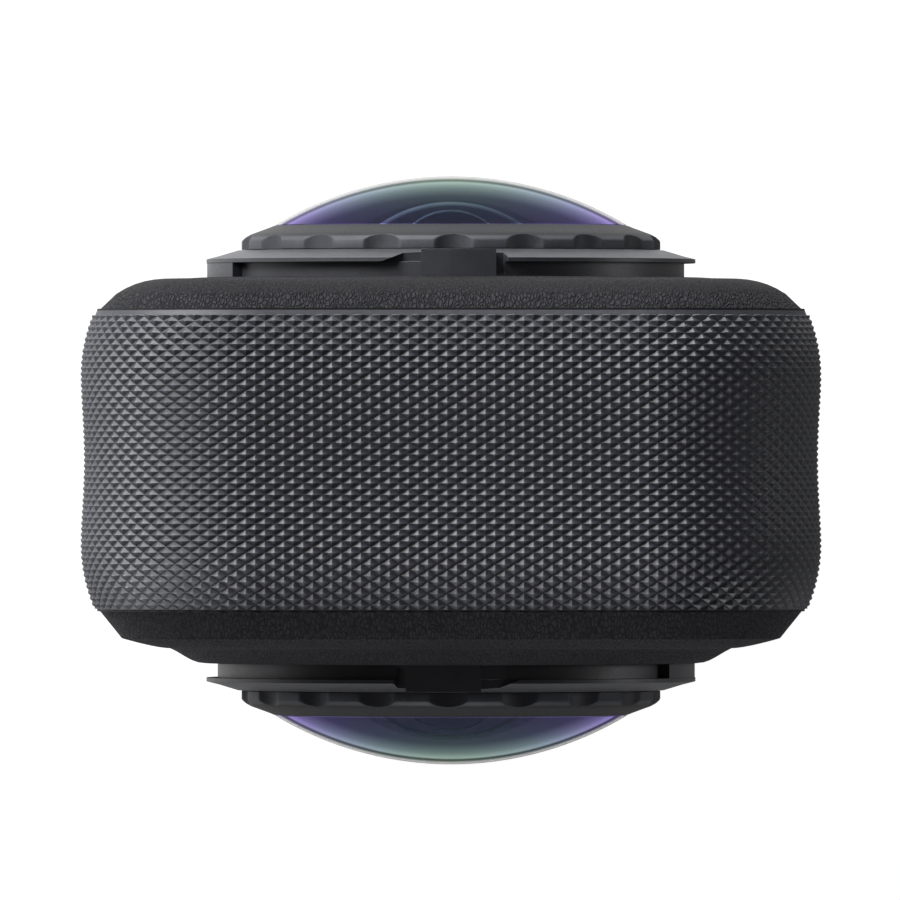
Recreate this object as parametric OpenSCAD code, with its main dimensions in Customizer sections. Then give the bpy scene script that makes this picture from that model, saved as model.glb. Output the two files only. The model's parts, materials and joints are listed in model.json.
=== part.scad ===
// Hand-held camera with two opposed wide lenses, built as an assembly.
// Millimetres, +Z up. The origin lies on the base plane, under the middle of the body.
// Y = 0 is the plane midway between the lenses. The display faces -Y.

/* [Body] */
// Width over the knurled sides
body_w = 46; // [44:0.5:56]
// Height over the knurled top
body_h = 124; // [122:1:150]
// Corner radius seen from the front
corner_r = 11; // [9:0.5:13]
// Rear seam, measured from the lens mid-plane
rear_seam = 9.9; // [9.6:0.1:12]
// Front seam, measured from the lens mid-plane
front_seam = 8.6; // [8.4:0.1:11]
// Fall of the band's rounded edges at the seams
band_drop = 0.85; // [0.5:0.05:1]
// Depth of the shallow waist round the band
waist_dip = 0.2; // [0:0.05:0.3]
// Depth of the knurl below the outline
knurl_depth = 0.2; // [0.1:0.05:0.3]
// Thickness of the band from its outline inwards
frame_wall = 2.4; // [2.3:0.1:3]

/* [Covers] */
// Rear cover, seam to flat face
rear_cover_t = 2; // [1.8:0.1:3]
// Front cover, seam to flat face
front_cover_t = 2.4; // [2.1:0.1:3]
// Wall of both covers at their flat faces
cover_wall = 1.6; // [1.4:0.1:1.8]
// Step of the covers inside the band's edge
cover_step = 0.1; // [0:0.05:0.3]
// Run of the rear cover's sloping side
rear_slope = 1.1; // [0.8:0.05:1.5]
// Run of the rounding above that slope
rear_round = 3.5; // [2.5:0.1:4]
// Run of the front cover's chamfer
front_chamfer = 1.45; // [1:0.05:2]
// Run of the rounding inside that chamfer
front_round = 2.7; // [2:0.1:3]
// Fall of that rounding
front_fall = 0.6; // [0.4:0.05:0.9]
// Rise of the rear lens plateau
rear_rise = 0.15; // [0.1:0.05:1]
// Rise of the front lens plateau
front_rise = 1.05; // [0.5:0.05:1.5]
// Width of the plateau's sloping skirt
skirt = 2.7; // [1.5:0.1:3]
// Width of the cover seals
gasket_w = 0.9; // [0.7:0.05:1]
// Thickness of the cover seals
gasket_t = 0.5; // [0.4:0.05:0.8]

/* [Lenses] */
// Lens axis below the top
lens_drop = 23.5; // [22:0.5:28]
// Diameter of the dome
dome_d = 22; // [20:0.1:24]
// Rise of the dome above the ring
dome_rise = 3.05; // [2.5:0.05:4]
// Thickness of the dome at its middle
dome_t = 1.5; // [1.2:0.1:1.7]
// Thickness of the dome at its rim
dome_rim = 0.4; // [0.3:0.05:0.6]
// Width of the scalloped ring round the dome
ring_w = 2.1; // [1.9:0.1:2.4]
// Height of the scalloped ring above the collar
ring_h = 1.55; // [1.3:0.05:2]
// Number of finger scallops
scallops = 18; // [12:1:24]
// Depth of each scallop
scallop_d = 0.45; // [0.2:0.05:0.6]
// Running clearance of the turning ring
ring_gap = 0.05; // [0.03:0.01:0.1]
// Width of the collar from the ring to its groove
collar_w = 1.5; // [1.2:0.1:1.7]
// Width of the lip over that groove
lip_w = 0.7; // [0.5:0.1:1]
// Height of the collar above its plateau
collar_h = 1.7; // [1.5:0.1:2.2]
// Underside of the lip above the plateau
lip_low = 0.9; // [0.7:0.05:1.1]
// Thickness of the lip's edge
lip_t = 0.25; // [0.2:0.05:0.35]
// Radius of the second element
inner_lens_r = 6.8; // [6:0.1:7]
// Turn that frees the lens, in degrees
lens_turn = 40; // [30:1:45]

/* [Display] */
// Margin of the display glass to the body's sides
display_side = 5; // [4.5:0.5:8]
// Lower edge of the glass above the base
display_z = 25; // [24.5:0.5:26]
// Gap between the glass and the lens plateau
display_gap = 2.3; // [2:0.1:8]
// Thickness of the glass
glass_t = 0.8; // [0.6:0.05:0.9]
// Width of the ledge under the glass
ledge_w = 1.3; // [1:0.1:2]

/* [Buttons] */
// Margin of the front buttons to the body's sides
key_side = 7; // [6.5:0.5:9]
// Gap between the front buttons
key_space = 2; // [1.8:0.1:3]
// Height of the front buttons
key_h = 9; // [7:0.5:9.5]
// Height of the front buttons' middle above the base
key_z = 13.4; // [13:0.1:14]
// Length of the side buttons
side_key_l = 7; // [5:0.5:7.5]
// Width of the side buttons
side_key_w = 3.6; // [3:0.1:4.5]
// Gap between the side buttons
side_key_space = 1; // [0.9:0.1:2]
// Upper side button's middle below the lens frame
power_room = 4.8; // [4.5:0.1:6]
// Travel of every button
key_travel = 0.35; // [0.2:0.05:0.4]
// Clearance round every button
key_gap = 0.15; // [0.1:0.05:0.25]

/* [Battery] */
// Lower edge of the pack above the base
pack_low = 16; // [15.5:0.5:18]
// Gap between the pack and the port door
pack_room = 5.7; // [5.5:0.1:8]
// Gap between the bay and the far wall
bay_room = 2.8; // [2.4:0.1:5]
// Thickness of the pack
pack_t = 9.2; // [8:0.1:9.3]
// Thickness of the pack's end cap
cap_t = 2; // [1.9:0.1:2.2]
// Overhang of the cap round the pack
cap_lip = 0.3; // [0.2:0.05:0.4]
// Clearance of the pack in its bay
pack_gap = 0.25; // [0.15:0.05:0.3]
// Travel of the release latches
latch_travel = 2.2; // [1.5:0.1:2.5]

/* [Port door] */
// Height of the door
door_h = 13.6; // [13.4:0.1:14.4]
// Width of the door
door_w = 8.2; // [8:0.1:8.4]
// Gap between the door and the lens frame
door_room = 0.4; // [0.3:0.05:2]
// Thickness of the door
door_t = 1.4; // [1.2:0.05:1.45]
// Radius of the hinge knuckle
knuckle_r = 0.8; // [0.7:0.05:0.82]
// Radius of the hinge pin
pin_r = 0.35; // [0.25:0.05:0.4]

/* [Base] */
// Width of the base plate
base_w = 25; // [22:0.5:25]
// Depth of the base plate
base_d = 15; // [13:0.5:15.5]
// Thickness of the base plate
base_t = 1.2; // [1.1:0.05:1.4]
// Radius of the tripod thread's bore
thread_r = 2.55; // [2:0.05:3.2]
// Depth of the tripod thread
thread_l = 7; // [5:0.5:8]

/* [Hidden] */
$fn = 96;
rear_face = rear_seam + rear_cover_t;
front_face = front_seam + front_cover_t;
rear_base = rear_face + rear_rise;
front_base = front_face + front_rise;
rear_fall = 0.475 * rear_cover_t;
rear_in = rear_face - cover_wall;
front_in = front_face - cover_wall;
lens_z = body_h - lens_drop;
band_mid = (rear_seam - front_seam) / 2;
band_half = (rear_seam + front_seam) / 2;
bulge = 0.57;
in_w = body_w / 2 - frame_wall;
side_x = body_w / 2 - waist_dip;
rim = knurl_depth + band_drop + cover_step;
pocket = frame_wall + 0.5;
cut = 1;
press = 0.02;
root = 0.4;

ring_r = dome_d / 2 + ring_w;
ring_low = collar_h + ring_gap;
ring_top = ring_low + ring_h;
cell_wall = 1.05;
bore_r = dome_d / 2 + cell_wall;
groove_r = ring_r + collar_w;
collar_r = groove_r + lip_w;
plateau_lap = 0.2;
plateau_r = collar_r + plateau_lap + skirt;
spigot_wall = 1.55;
spigot_r = bore_r + spigot_wall;
spigot_l = 3.6;
spigot_gap = 0.2;
lug_top = -2.5;
lug_t = 0.8;
lug_reach = 0.65;
lug_angle = 20;
stop_turn = 1.8;
stop_angle = 17.6;
slot_turn = 6.2;
slot_angle = 14.4;
slot_floor = 0.12;
ramp_l = 4.3;
scallop_r = 2;
scallop_turn = 0.54;
seal_r = 0.4;
seal_h = 1.1;
ledge_d = 0.3;
seat_h = ring_low + 0.25;
cell_r = dome_d / 2 - ledge_d;
apex = ring_top + dome_rise;
dome_r = (pow(dome_d / 2, 2) + pow(dome_rise, 2)) / (2 * dome_rise);
hollow_r = dome_d / 2 - dome_rim;
barrel_gap = 0.12;
barrel_r = cell_r - barrel_gap;
neck_r = cell_r - 0.4;
barrel_l = 8.4;
barrel_top = 0.3;
aperture_r = 4.2;
inner_apex = 3.4;
inner_curve = 9;
inner_back = 2;
relay_r = 5;
relay_l = 4;
relay_curve = 8;
relay_back = 7.2;
sensor_w = 9;
sensor_t = 1;
sensor_board_w = 13.6;
sensor_board_t = 1.1;
board_back = barrel_l + sensor_t + sensor_board_t;
carrier_wall = 1.2;
carrier_half = spigot_r + carrier_wall;
post_gap = 0.5;
post_x = carrier_half + post_gap;
post_z = 9;
screw_x = (post_x + in_w) / 2;
ear_y = 4;
ear_t = 1.6;
ear_h = 4.4;
carrier_screw_r = 0.75;
carrier_head_r = 1.4;
carrier_head_t = 1;

display_w = body_w - 2 * display_side;
display_top = lens_z - plateau_r - display_gap;
display_h = display_top - display_z;
display_mid = display_z + display_h / 2;
display_r = 2.9;
glass_gap = 0.1;
panel_t = 1.5;
panel_gap = 0.2;
tape_t = 0.2;

board_t = 0.8;
key_w = (body_w - 2 * key_side - key_space) / 2;
key_pitch = key_w + key_space;
flange_t = 0.6;
key_flange = 0.8;
side_flange = 0.35;
key_proud = 0.35;
switch_h = 0.85;
switch_w = 4;
key_back = front_in - key_gap / 3 - flange_t;
key_board = key_back - key_travel - 0.05 - switch_h;
key_board_half = in_w - 2.8;
key_board_h = key_h + 4.4;
key_post_x = in_w - 3.7;
key_post_z = key_h / 2 + 0.1;
key_post_r = 0.8;
side_back = in_w - 0.05 - flange_t;
side_board = side_back - key_travel - 0.05 - switch_h;
side_board_w = 6;
side_board_end = 2.1;
side_switch_w = 2.4;
side_switch_l = 3.2;
side_rail_w = 4;
side_rail_h = 1.2;
power_z = lens_z - carrier_half - power_room;
mode_z = power_z - side_key_l - side_key_space;
side_low = mode_z - side_key_l / 2 - side_board_end;
side_high = power_z + side_key_l / 2 + side_board_end;

main_t = 1;
main_y = front_in - 1.5;
main_back = main_t - main_y;
main_half = in_w - 1.1;
main_z0 = display_z - 3;
main_z1 = lens_z - carrier_half - 0.8;
main_screw_x = in_w - 2.3;
main_screw_in = 3;
main_screw_r = 0.6;
main_head_r = 1.1;
boss_x = in_w - 3.4;
boss_t = 1.3;
boss_h = 3.6;
shield_w = 18;
shield_h = 20;
shield_t = 1.2;
shield_up = 24;

door_z = lens_z - carrier_half - door_room - door_h / 2;
door_y0 = band_mid - door_w / 2;
pin_y = band_mid + door_w / 2 - knuckle_r;
pin_x = side_x - knuckle_r;
door_gap = 0.2;
pin_l = door_h + 2.4;
pin_gap = 0.05;
notch_w = 1.6;
notch_l = 6;
notch_d = 0.5;
plug_y0 = door_y0 + 0.6;
plug_y1 = pin_y - knuckle_r - 0.6;
plug_mid = (plug_y0 + plug_y1) / 2;
plug_w = plug_y1 - plug_y0;
plug_h = door_h - 3.2;
plug_l = 0.65;
plug_wall = 0.8;
port_w = 3.2;
port_h = 9;
port_l = 7.5;
port_shell = 0.3;
port_tongue = 0.7;
port_tongue_h = 6.6;
port_x = in_w - 0.1;
port_y = plug_y0 + 0.05 + port_w / 2;
slice_y = port_y + port_w / 2;
card_t = 0.7;
card_l = 15.1;
card_h = 11;
holder_t = 1.6;
holder_l = 16;
holder_h = 12.4;
card_gap = 0.1;
card_y = slice_y + board_t + holder_t / 2;
rail_t = 1.3;
rail_l = 8.6;

bay_wall = 0.8;
pack_top = min(door_z - door_h / 2 - pack_room, side_low - bay_wall - 2 * pack_gap);
pack_h = pack_top - pack_low;
pack_z = pack_low + pack_h / 2;
cap_w = pack_t + 2 * cap_lip;
cap_h = pack_h + 2 * cap_lip + 1;
cap_r = 2.4;
cap_gap = 0.2;
cap_in = side_x - cap_t;
contact_l = 1.6;
contact_w = 1;
contact_h = 3.2;
contact_pitch = 1.9;
contact_up = 12;
bay_end = in_w - bay_room;
pack_end = bay_end - contact_l;
bay_w = pack_t + 2 * pack_gap;
bay_h = pack_h + 2 * pack_gap;
seal_w = 0.6;
seal_in = 0.15;
seal_d = 0.45;
slider_l = 6.5;
slider_w = 4.6;
slider_t = 1;
slider_gap = 0.15;
slider_end = 2;
rib_w = 0.4;
rib_l = 3.2;
rib_d = 0.35;
tongue_w = 2.8;
slot_l = slider_l + latch_travel + 0.6;
slider_z = cap_h / 2 - slider_end - slider_l / 2;
spreader_half = in_w - 3.6;
spreader_t = 0.6;

insert_r = 4.5;
insert_flange = 5.4;
insert_flange_t = 1;
boss_r = 6.2;
boss_z = thread_l + 0.5;
base_r = 3;
base_screw_x = 9;
base_screw_r = 0.75;
base_screw_l = 3.9;
base_head_r = 1.3;
base_head_t = 0.65;
base_boss_r = 2;
base_boss_h = 2.4;
drive_l = 1.6;
drive_w = 0.3;
drive_d = 0.4;

speaker_w = 15;
speaker_h = 10;
speaker_t = 3;
speaker_z = 16;
slits = 5;
slit_w = 1;
slit_h = 6;
slit_pitch = 2.4;
mic_r = 0.45;
mic_l = 3.8;
mic_w = 2.8;
mic_t = 1.1;
front_mic_z = display_z - 2.9;
rear_mic_z = lens_z - plateau_r - 9.8;
light_w = 5;
light_h = 1.6;
light_gap = 0.05;
light_flange = 0.7;
light_flange_t = 0.6;
rear_light_z = lens_z - plateau_r - 3.8;
light_r = 0.85;
light_flange_r = 1.5;
front_light_x = display_w / 2 - 2.5;
front_light_z = display_top + 3;

plastic = "#3c3c41";
cover_grey = "#38373c";
metal = "#8d8f94";
black = "#1c1c1e";
board_green = "#1f4a36";
brass = "#b58a3c";
glass_tint = "#6d7d86";

// Rounded rectangle about the origin
module rrect(w, h, r) {
  square([w - 2 * r, h], center = true);
  square([w, h - 2 * r], center = true);
  for (x = [-1, 1], y = [-1, 1])
    translate([x * (w / 2 - r), y * (h / 2 - r)])
      circle(r);
}

// Rounded plate whose thickness runs along Y
module plate_y(w, h, r, y0, y1) {
  translate([0, y1, 0])
    rotate([90, 0, 0])
      linear_extrude(y1 - y0)
        rrect(w, h, r);
}

// Rounded plate whose thickness runs along X
module plate_x(w, h, r, x0, x1) {
  translate([x0, 0, 0])
    rotate([90, 0, 90])
      linear_extrude(x1 - x0)
        rrect(w, h, r);
}

// Block between two corners
module block(a, b) {
  translate(a)
    cube(b - a);
}

// Bar along Y between two depths
module rod_y(r, y0, y1) {
  translate([0, y1, 0])
    rotate([90, 0, 0])
      cylinder(r = r, h = y1 - y0);
}

// Bar along X between two sides
module rod_x(r, x0, x1) {
  translate([x0, 0, 0])
    rotate([0, 90, 0])
      cylinder(r = r, h = x1 - x0);
}

// Plate of the body's outline, set in by d
module slab(d, y0, y1) {
  translate([0, 0, body_h / 2])
    plate_y(body_w - 2 * d, body_h - 2 * d, corner_r - d, y0, y1);
}

// Solid whose edge section, as pairs of inset and depth, runs round the body's outline
module swept(edge) {
  y0 = edge[0][1];
  y1 = edge[len(edge) - 1][1];
  cx = body_w / 2 - corner_r;
  section = concat([[0, y0]], [for (p = edge) [corner_r - p[0], p[1]]], [[0, y1]]);
  right = [for (p = edge) [body_w / 2 - p[0], p[1]]];
  left = [for (i = [len(edge) - 1 : -1 : 0]) [edge[i][0] - body_w / 2, edge[i][1]]];
  translate([0, 0, corner_r])
    linear_extrude(body_h - 2 * corner_r)
      polygon(concat(right, left));
  for (s = [0, 1])
    translate([0, 0, s ? body_h - corner_r : corner_r])
      rotate([0, s ? -90 : 90, 0])
        linear_extrude(2 * cx, center = true)
          polygon(section);
  for (k = [0 : 3])
    translate([k == 0 || k == 3 ? cx : -cx, 0, k < 2 ? corner_r : body_h - corner_r])
      rotate([-90, 0, 0])
        rotate([0, 0, 90 * k])
          rotate_extrude(angle = 90)
            polygon(section);
}

// Places a lens piece drawn along +Z on the rear face
module on_rear() {
  translate([0, rear_base, lens_z])
    rotate([-90, 0, 0])
      children();
}

// Places the same piece on the front face
module on_front() {
  translate([0, -front_base, lens_z])
    rotate([0, 0, 180])
      rotate([-90, 0, 0])
        children();
}

// Ring sector about +Z
module sector(r0, r1, h0, h1, mid, width) {
  rotate([0, 0, mid - width / 2])
    rotate_extrude(angle = width)
      translate([r0, h0])
        square([r1 - r0, h1 - h0]);
}

// Low round plateau under a collar
module plateau(rise) {
  rotate_extrude()
    polygon(concat([[0, -rise - root], [0, 0]],
      [for (i = [0 : 8]) [plateau_r - skirt * (8 - i) / 8, -rise * (1 - cos(22.5 * i)) / 2]],
      [[plateau_r, -rise - root]]));
}

function band_inset(t) = abs(t) < bulge
  ? waist_dip * pow(1 - pow(t / bulge, 2), 2)
  : band_drop * pow((abs(t) - bulge) / (1 - bulge), 2);

band_edge = [for (i = [-8 : 8]) [knurl_depth + band_inset(i / 8), band_mid + band_half * i / 8]];
rear_edge = concat([[rim, rear_seam]], [for (i = [0 : 6])
  [rim + rear_slope + rear_round * i / 6, rear_face - rear_fall * pow(1 - i / 6, 2.5)]]);
front_edge = concat([for (i = [0 : 6])
  [rim + front_chamfer + front_round * (1 - i / 6), -front_face + front_fall * pow(i / 6, 1.3)]],
  [[rim, -front_seam]]);

// Body

module mid_frame() {
  color(plastic)
  difference() {
    union() {
      difference() {
        swept(band_edge);
        slab(frame_wall, -front_seam - cut, rear_seam + cut);
      }
      for (x = [0, 1], z = [-1, 1])
        mirror([x, 0, 0])
          translate([0, 0, lens_z + z * post_z])
            block([post_x, -ear_y, -ear_h / 2], [in_w + root, ear_y, ear_h / 2]);
      for (x = [0, 1], z = [main_z0 + main_screw_in, main_z1 - main_screw_in])
        mirror([x, 0, 0])
          translate([0, 0, z])
            block([boss_x, main_back, -boss_h / 2], [in_w + root, main_back + boss_t, boss_h / 2]);
      for (z = [side_low, side_high - side_rail_h])
        translate([side_board, band_mid - side_rail_w / 2, z])
          cube([in_w + root - side_board, side_rail_w, side_rail_h]);
      translate([-in_w - root, slice_y - board_t, door_z - door_h / 2 - rail_t])
        cube([rail_l + root, 3 * board_t, rail_t]);
      translate([0, 0, frame_wall - root])
        cylinder(r = boss_r, h = boss_z - frame_wall + root);
      for (x = [-1, 1])
        translate([x * base_screw_x, 0, frame_wall - root])
          cylinder(r = base_boss_r, h = base_boss_h);
    }
    for (s = [0, 1])
      mirror([0, s, 0])
        difference() {
          slab(frame_wall - 0.5, (s ? front_seam : rear_seam) - gasket_t, rear_seam + front_seam);
          slab(corner_r - 0.5, 0, rear_seam + front_seam + cut);
        }
    translate([0, band_mid, pack_z])
      plate_x(cap_w + 2 * cap_gap, cap_h + 2 * cap_gap, cap_r + cap_gap, -body_w, -in_w + cut);
    translate([0, 0, door_z]) {
      block([-body_w, door_y0 - door_gap, -door_h / 2 - door_gap],
        [-(pin_x - knuckle_r - 0.15), pin_y + knuckle_r + door_gap, door_h / 2 + door_gap]);
      translate([0, plug_mid, 0])
        plate_x(plug_w + 0.5, plug_h + 0.6, 1.4, -body_w, -in_w + cut);
      translate([-pin_x, pin_y, -pin_l / 2])
        cylinder(r = pin_r + press, h = pin_l);
    }
    for (z = [power_z, mode_z])
      translate([0, band_mid, z])
        plate_x(side_key_w + 2 * key_gap, side_key_l + 2 * key_gap, side_key_w * 0.48, in_w - cut, body_w);
    translate([0, band_mid, lens_z])
      rod_x(mic_r, in_w - cut, body_w);
    translate([0, 0, -cut])
      linear_extrude(base_t + cut)
        rrect(base_w + 2 * press, base_d + 2 * press, base_r);
    translate([0, 0, -cut])
      cylinder(r = insert_r + press, h = boss_z + 2 * cut);
    for (x = [-1, 1])
      translate([x * base_screw_x, 0, 0])
        cylinder(r = base_screw_r + press, h = base_screw_l + 0.1);
    for (x = [-1, 1], z = [-1, 1])
      translate([x * screw_x, 0, lens_z + z * post_z])
        rod_y(carrier_screw_r + press, -0.5, ear_y + cut);
    for (x = [-1, 1], z = [main_z0 + main_screw_in, main_z1 - main_screw_in])
      translate([x * main_screw_x, 0, z])
        rod_y(main_screw_r + press, main_back - cut, main_back + boss_t - 0.1);
  }
}

module rear_cover() {
  color(cover_grey)
  difference() {
    union() {
      swept(rear_edge);
      on_rear()
        plateau(rear_rise);
    }
    slab(pocket, rear_seam - cut, rear_in);
    on_rear()
      translate([0, 0, -10])
        cylinder(r = spigot_r + spigot_gap, h = 12);
    for (i = [0 : slits - 1])
      translate([slit_pitch * (i - (slits - 1) / 2), 0, speaker_z])
        plate_y(slit_w, slit_h, slit_w * 0.49, rear_in - cut, rear_face + cut);
    translate([0, 0, rear_light_z])
      plate_y(light_w + 2 * light_gap, light_h + 2 * light_gap, light_h / 2, rear_in - cut, rear_face + cut);
    translate([0, 0, rear_mic_z])
      rod_y(mic_r, rear_in - cut, rear_face + cut);
  }
}

module front_cover() {
  color(cover_grey)
  difference() {
    union() {
      difference() {
        union() {
          swept(front_edge);
          on_front()
            plateau(front_rise);
        }
        slab(pocket, -front_in, cut - front_seam);
      }
      for (x = [-1, 1], z = [-1, 1])
        translate([x * key_post_x, 0, key_z + z * key_post_z])
          rod_y(key_post_r, -front_in - root, -key_board);
    }
    on_front()
      translate([0, 0, -10])
        cylinder(r = spigot_r + spigot_gap, h = 12);
    translate([0, 0, display_mid]) {
      plate_y(display_w + 2 * glass_gap, display_h + 2 * glass_gap, display_r + glass_gap,
        -front_face - cut, tape_t + glass_t - front_face);
      plate_y(display_w - 2 * ledge_w, display_h - 2 * ledge_w, display_r - ledge_w / 2,
        -front_face - cut, cut - front_in);
    }
    for (x = [-1, 1])
      translate([x * key_pitch / 2, 0, key_z])
        plate_y(key_w + 2 * key_gap, key_h + 2 * key_gap, key_h * 0.49, -front_face - cut, cut - front_in);
    translate([front_light_x, 0, front_light_z])
      rod_y(light_r + light_gap, -front_face - cut, cut - front_in);
    translate([0, 0, front_mic_z])
      rod_y(mic_r, -front_face - cut, cut - front_in);
  }
}

// Flat seal lying in the band's rebate
module gasket(y0, y1) {
  color(black)
  difference() {
    slab(frame_wall - 0.5 + press, y0, y1);
    slab(frame_wall - 0.5 + press + gasket_w, y0 - cut, y1 + cut);
  }
}

module rear_gasket() {
  gasket(rear_seam - gasket_t, rear_seam);
}

module front_gasket() {
  gasket(-front_seam, gasket_t - front_seam);
}

module base_plate() {
  color(black)
  difference() {
    linear_extrude(base_t)
      rrect(base_w, base_d, base_r);
    translate([0, 0, -cut])
      cylinder(r = insert_r + press, h = base_t + 2 * cut);
    for (x = [-1, 1])
      translate([x * base_screw_x, 0, -cut]) {
        cylinder(r = base_screw_r + 0.1, h = base_t + 2 * cut);
        cylinder(r = base_head_r + 0.1, h = base_head_t + 0.1 + cut);
      }
  }
}

module tripod_insert() {
  color(metal)
  difference() {
    union() {
      translate([0, 0, 0.05])
        cylinder(r = insert_r, h = boss_z);
      translate([0, 0, boss_z])
        cylinder(r = insert_flange, h = insert_flange_t);
    }
    cylinder(r = thread_r, h = thread_l);
  }
}

module base_screws() {
  color(metal)
  for (x = [-1, 1])
    translate([x * base_screw_x, 0, 0])
      difference() {
        union() {
          translate([0, 0, 0.1])
            cylinder(r = base_head_r, h = base_head_t);
          translate([0, 0, 0.3])
            cylinder(r = base_screw_r, h = base_screw_l - 0.3);
        }
        for (a = [0, 90])
          rotate([0, 0, a])
            translate([-drive_w / 2, -drive_l / 2, -cut])
              cube([drive_w, drive_l, cut + drive_d]);
      }
}

// Lens frame

module lens_carrier() {
  color(metal)
  difference() {
    union() {
      translate([0, 0, lens_z])
        plate_y(2 * carrier_half, 2 * carrier_half, 3, -front_in, rear_in);
      for (x = [0, 1], z = [-1, 1])
        mirror([x, 0, 0])
          translate([0, 0, lens_z + z * post_z])
            block([carrier_half - cut, ear_y, -ear_h / 2], [in_w - 0.3, ear_y + ear_t, ear_h / 2]);
    }
    translate([0, 0, lens_z]) {
      rod_y(barrel_r + press, -front_in - cut, rear_in + cut);
      rod_y(spigot_r + press, -front_in - cut, spigot_l + 0.05 - front_base);
    }
    translate([0, 0, lens_z])
      rod_y(spigot_r + press, rear_base - spigot_l - 0.05, rear_in + cut);
    for (x = [-1, 1], z = [-1, 1])
      translate([x * screw_x, 0, lens_z + z * post_z])
        rod_y(carrier_screw_r + 0.1, 0, ear_y + ear_t + cut);
  }
}

module carrier_screws() {
  color(metal)
  for (x = [-1, 1], z = [-1, 1])
    translate([x * screw_x, 0, lens_z + z * post_z])
      difference() {
        union() {
          rod_y(carrier_head_r, ear_y + ear_t, ear_y + ear_t + carrier_head_t);
          rod_y(carrier_screw_r, -0.4, ear_y + ear_t + carrier_head_t / 2);
        }
        rod_y(carrier_screw_r * 0.8, ear_y + ear_t + carrier_head_t * 0.4,
          ear_y + ear_t + 2 * carrier_head_t);
      }
}

// Bayonet collar: grooved outside for a guard, undercut inside for the lens
module collar() {
  color(metal)
  difference() {
    union() {
      difference() {
        rotate_extrude()
          polygon([[bore_r, -spigot_l], [spigot_r, -spigot_l], [spigot_r, 0], [groove_r, 0],
            [groove_r, lip_low], [collar_r, lip_low], [collar_r, lip_low + lip_t],
            [groove_r - 0.1, collar_h - 0.35], [ring_r + 0.25, collar_h], [bore_r, collar_h]]);
        sector(groove_r - 0.45, collar_r + cut, slot_floor, collar_h + cut, 270 + slot_turn, slot_angle);
        rotate([0, 0, 270])
          translate([groove_r - 0.7, 0, 0])
            rotate([90, 0, 90])
              linear_extrude(lip_w + 2)
                polygon([[-ramp_l, lip_low], [0, lip_low], [0, collar_h + cut],
                  [-ramp_l / 2, collar_h + 0.05]]);
      }
      for (stop = [[187, 40], [40, 30]])
        sector(groove_r - 0.3, collar_r - 0.04, 0, lip_low + lip_t / 2, stop[0], stop[1]);
      sector(groove_r - 1.05, collar_r - 0.04, 0, collar_h - 0.03, 270 + stop_turn, stop_angle);
    }
    translate([0, 0, -spigot_l - cut])
      cylinder(r = bore_r + lug_reach + 0.15, h = spigot_l + cut + lug_top);
    for (k = [0 : 2])
      sector(bore_r - 0.5, bore_r + lug_reach + 0.07, lug_top - 0.5, collar_h + cut,
        90 + lens_turn + 120 * k, lug_angle + 6);
  }
}

// Scalloped lens ring with bayonet lugs
module lens_ring() {
  color(metal)
  difference() {
    union() {
      rotate_extrude()
        polygon([[cell_r, lug_top - lug_t - 0.1], [bore_r - ring_gap, lug_top - lug_t - 0.1],
          [bore_r - ring_gap, ring_low], [ring_r, ring_low], [ring_r, ring_low + ring_h * 0.34],
          [ring_r - 0.27, ring_low + ring_h * 0.5], [ring_r - 0.6, ring_low + ring_h * 0.62],
          [ring_r - 1.2, ring_low + ring_h * 0.76], [dome_d / 2 + 0.3, ring_top - 0.15],
          [dome_d / 2 + 0.05, ring_top - 0.05], [dome_d / 2 + 0.05, seat_h], [cell_r, seat_h]]);
      for (k = [0 : 2])
        sector(bore_r - 0.5, bore_r + lug_reach, lug_top - lug_t - 0.1, lug_top - 0.1,
          90 + 120 * k, lug_angle);
    }
    for (k = [0 : scallops - 1])
      rotate([0, 0, 360 / scallops * (k + scallop_turn)])
        translate([ring_r + scallop_r - scallop_d, 0, ring_low - cut])
          cylinder(r = scallop_r, h = ring_h + 2 * cut);
    rotate_extrude()
      translate([bore_r - 2 * seal_r - 0.1, -seal_h - seal_r - 0.1])
        square([3 * seal_r, 2 * seal_r + 0.2]);
  }
}

module lens_dome() {
  color(glass_tint)
  difference() {
    intersection() {
      translate([0, 0, apex - dome_r])
        sphere(dome_r);
      translate([0, 0, seat_h + press])
        cylinder(r = dome_d / 2, h = 10);
    }
    translate([0, 0, apex - dome_t - hollow_r])
      sphere(hollow_r);
  }
}

module lens_seal() {
  color(black)
  rotate_extrude()
    translate([bore_r - seal_r - 0.08, -seal_h])
      circle(seal_r, $fn = 32);
}

module lens_barrel() {
  color(black)
  rotate_extrude()
    polygon([[aperture_r, -barrel_l], [barrel_r, -barrel_l], [barrel_r, -spigot_l - 0.15],
      [neck_r, -spigot_l - 0.15], [neck_r, barrel_top], [inner_lens_r + press, barrel_top],
      [inner_lens_r + press, -inner_back], [relay_r + press, -inner_back],
      [relay_r + press, -relay_back], [aperture_r, -relay_back]]);
}

module inner_lens() {
  color(glass_tint)
  intersection() {
    translate([0, 0, inner_apex - inner_curve])
      sphere(inner_curve);
    translate([0, 0, -inner_back])
      cylinder(r = inner_lens_r, h = 10);
  }
}

module retaining_ring() {
  color(black)
  rotate_extrude()
    polygon([[inner_lens_r + 0.1, barrel_top], [neck_r, barrel_top], [neck_r, seat_h - 0.05],
      [neck_r - 0.6, seat_h - 0.05], [inner_lens_r + 0.6, 0.9], [inner_lens_r + 0.1, 0.9]]);
}

module relay_lens() {
  color(glass_tint)
  intersection() {
    translate([0, 0, -relay_back])
      cylinder(r = relay_r, h = relay_l);
    translate([0, 0, relay_l - relay_back - relay_curve - 0.4])
      sphere(relay_curve);
  }
}

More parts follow.
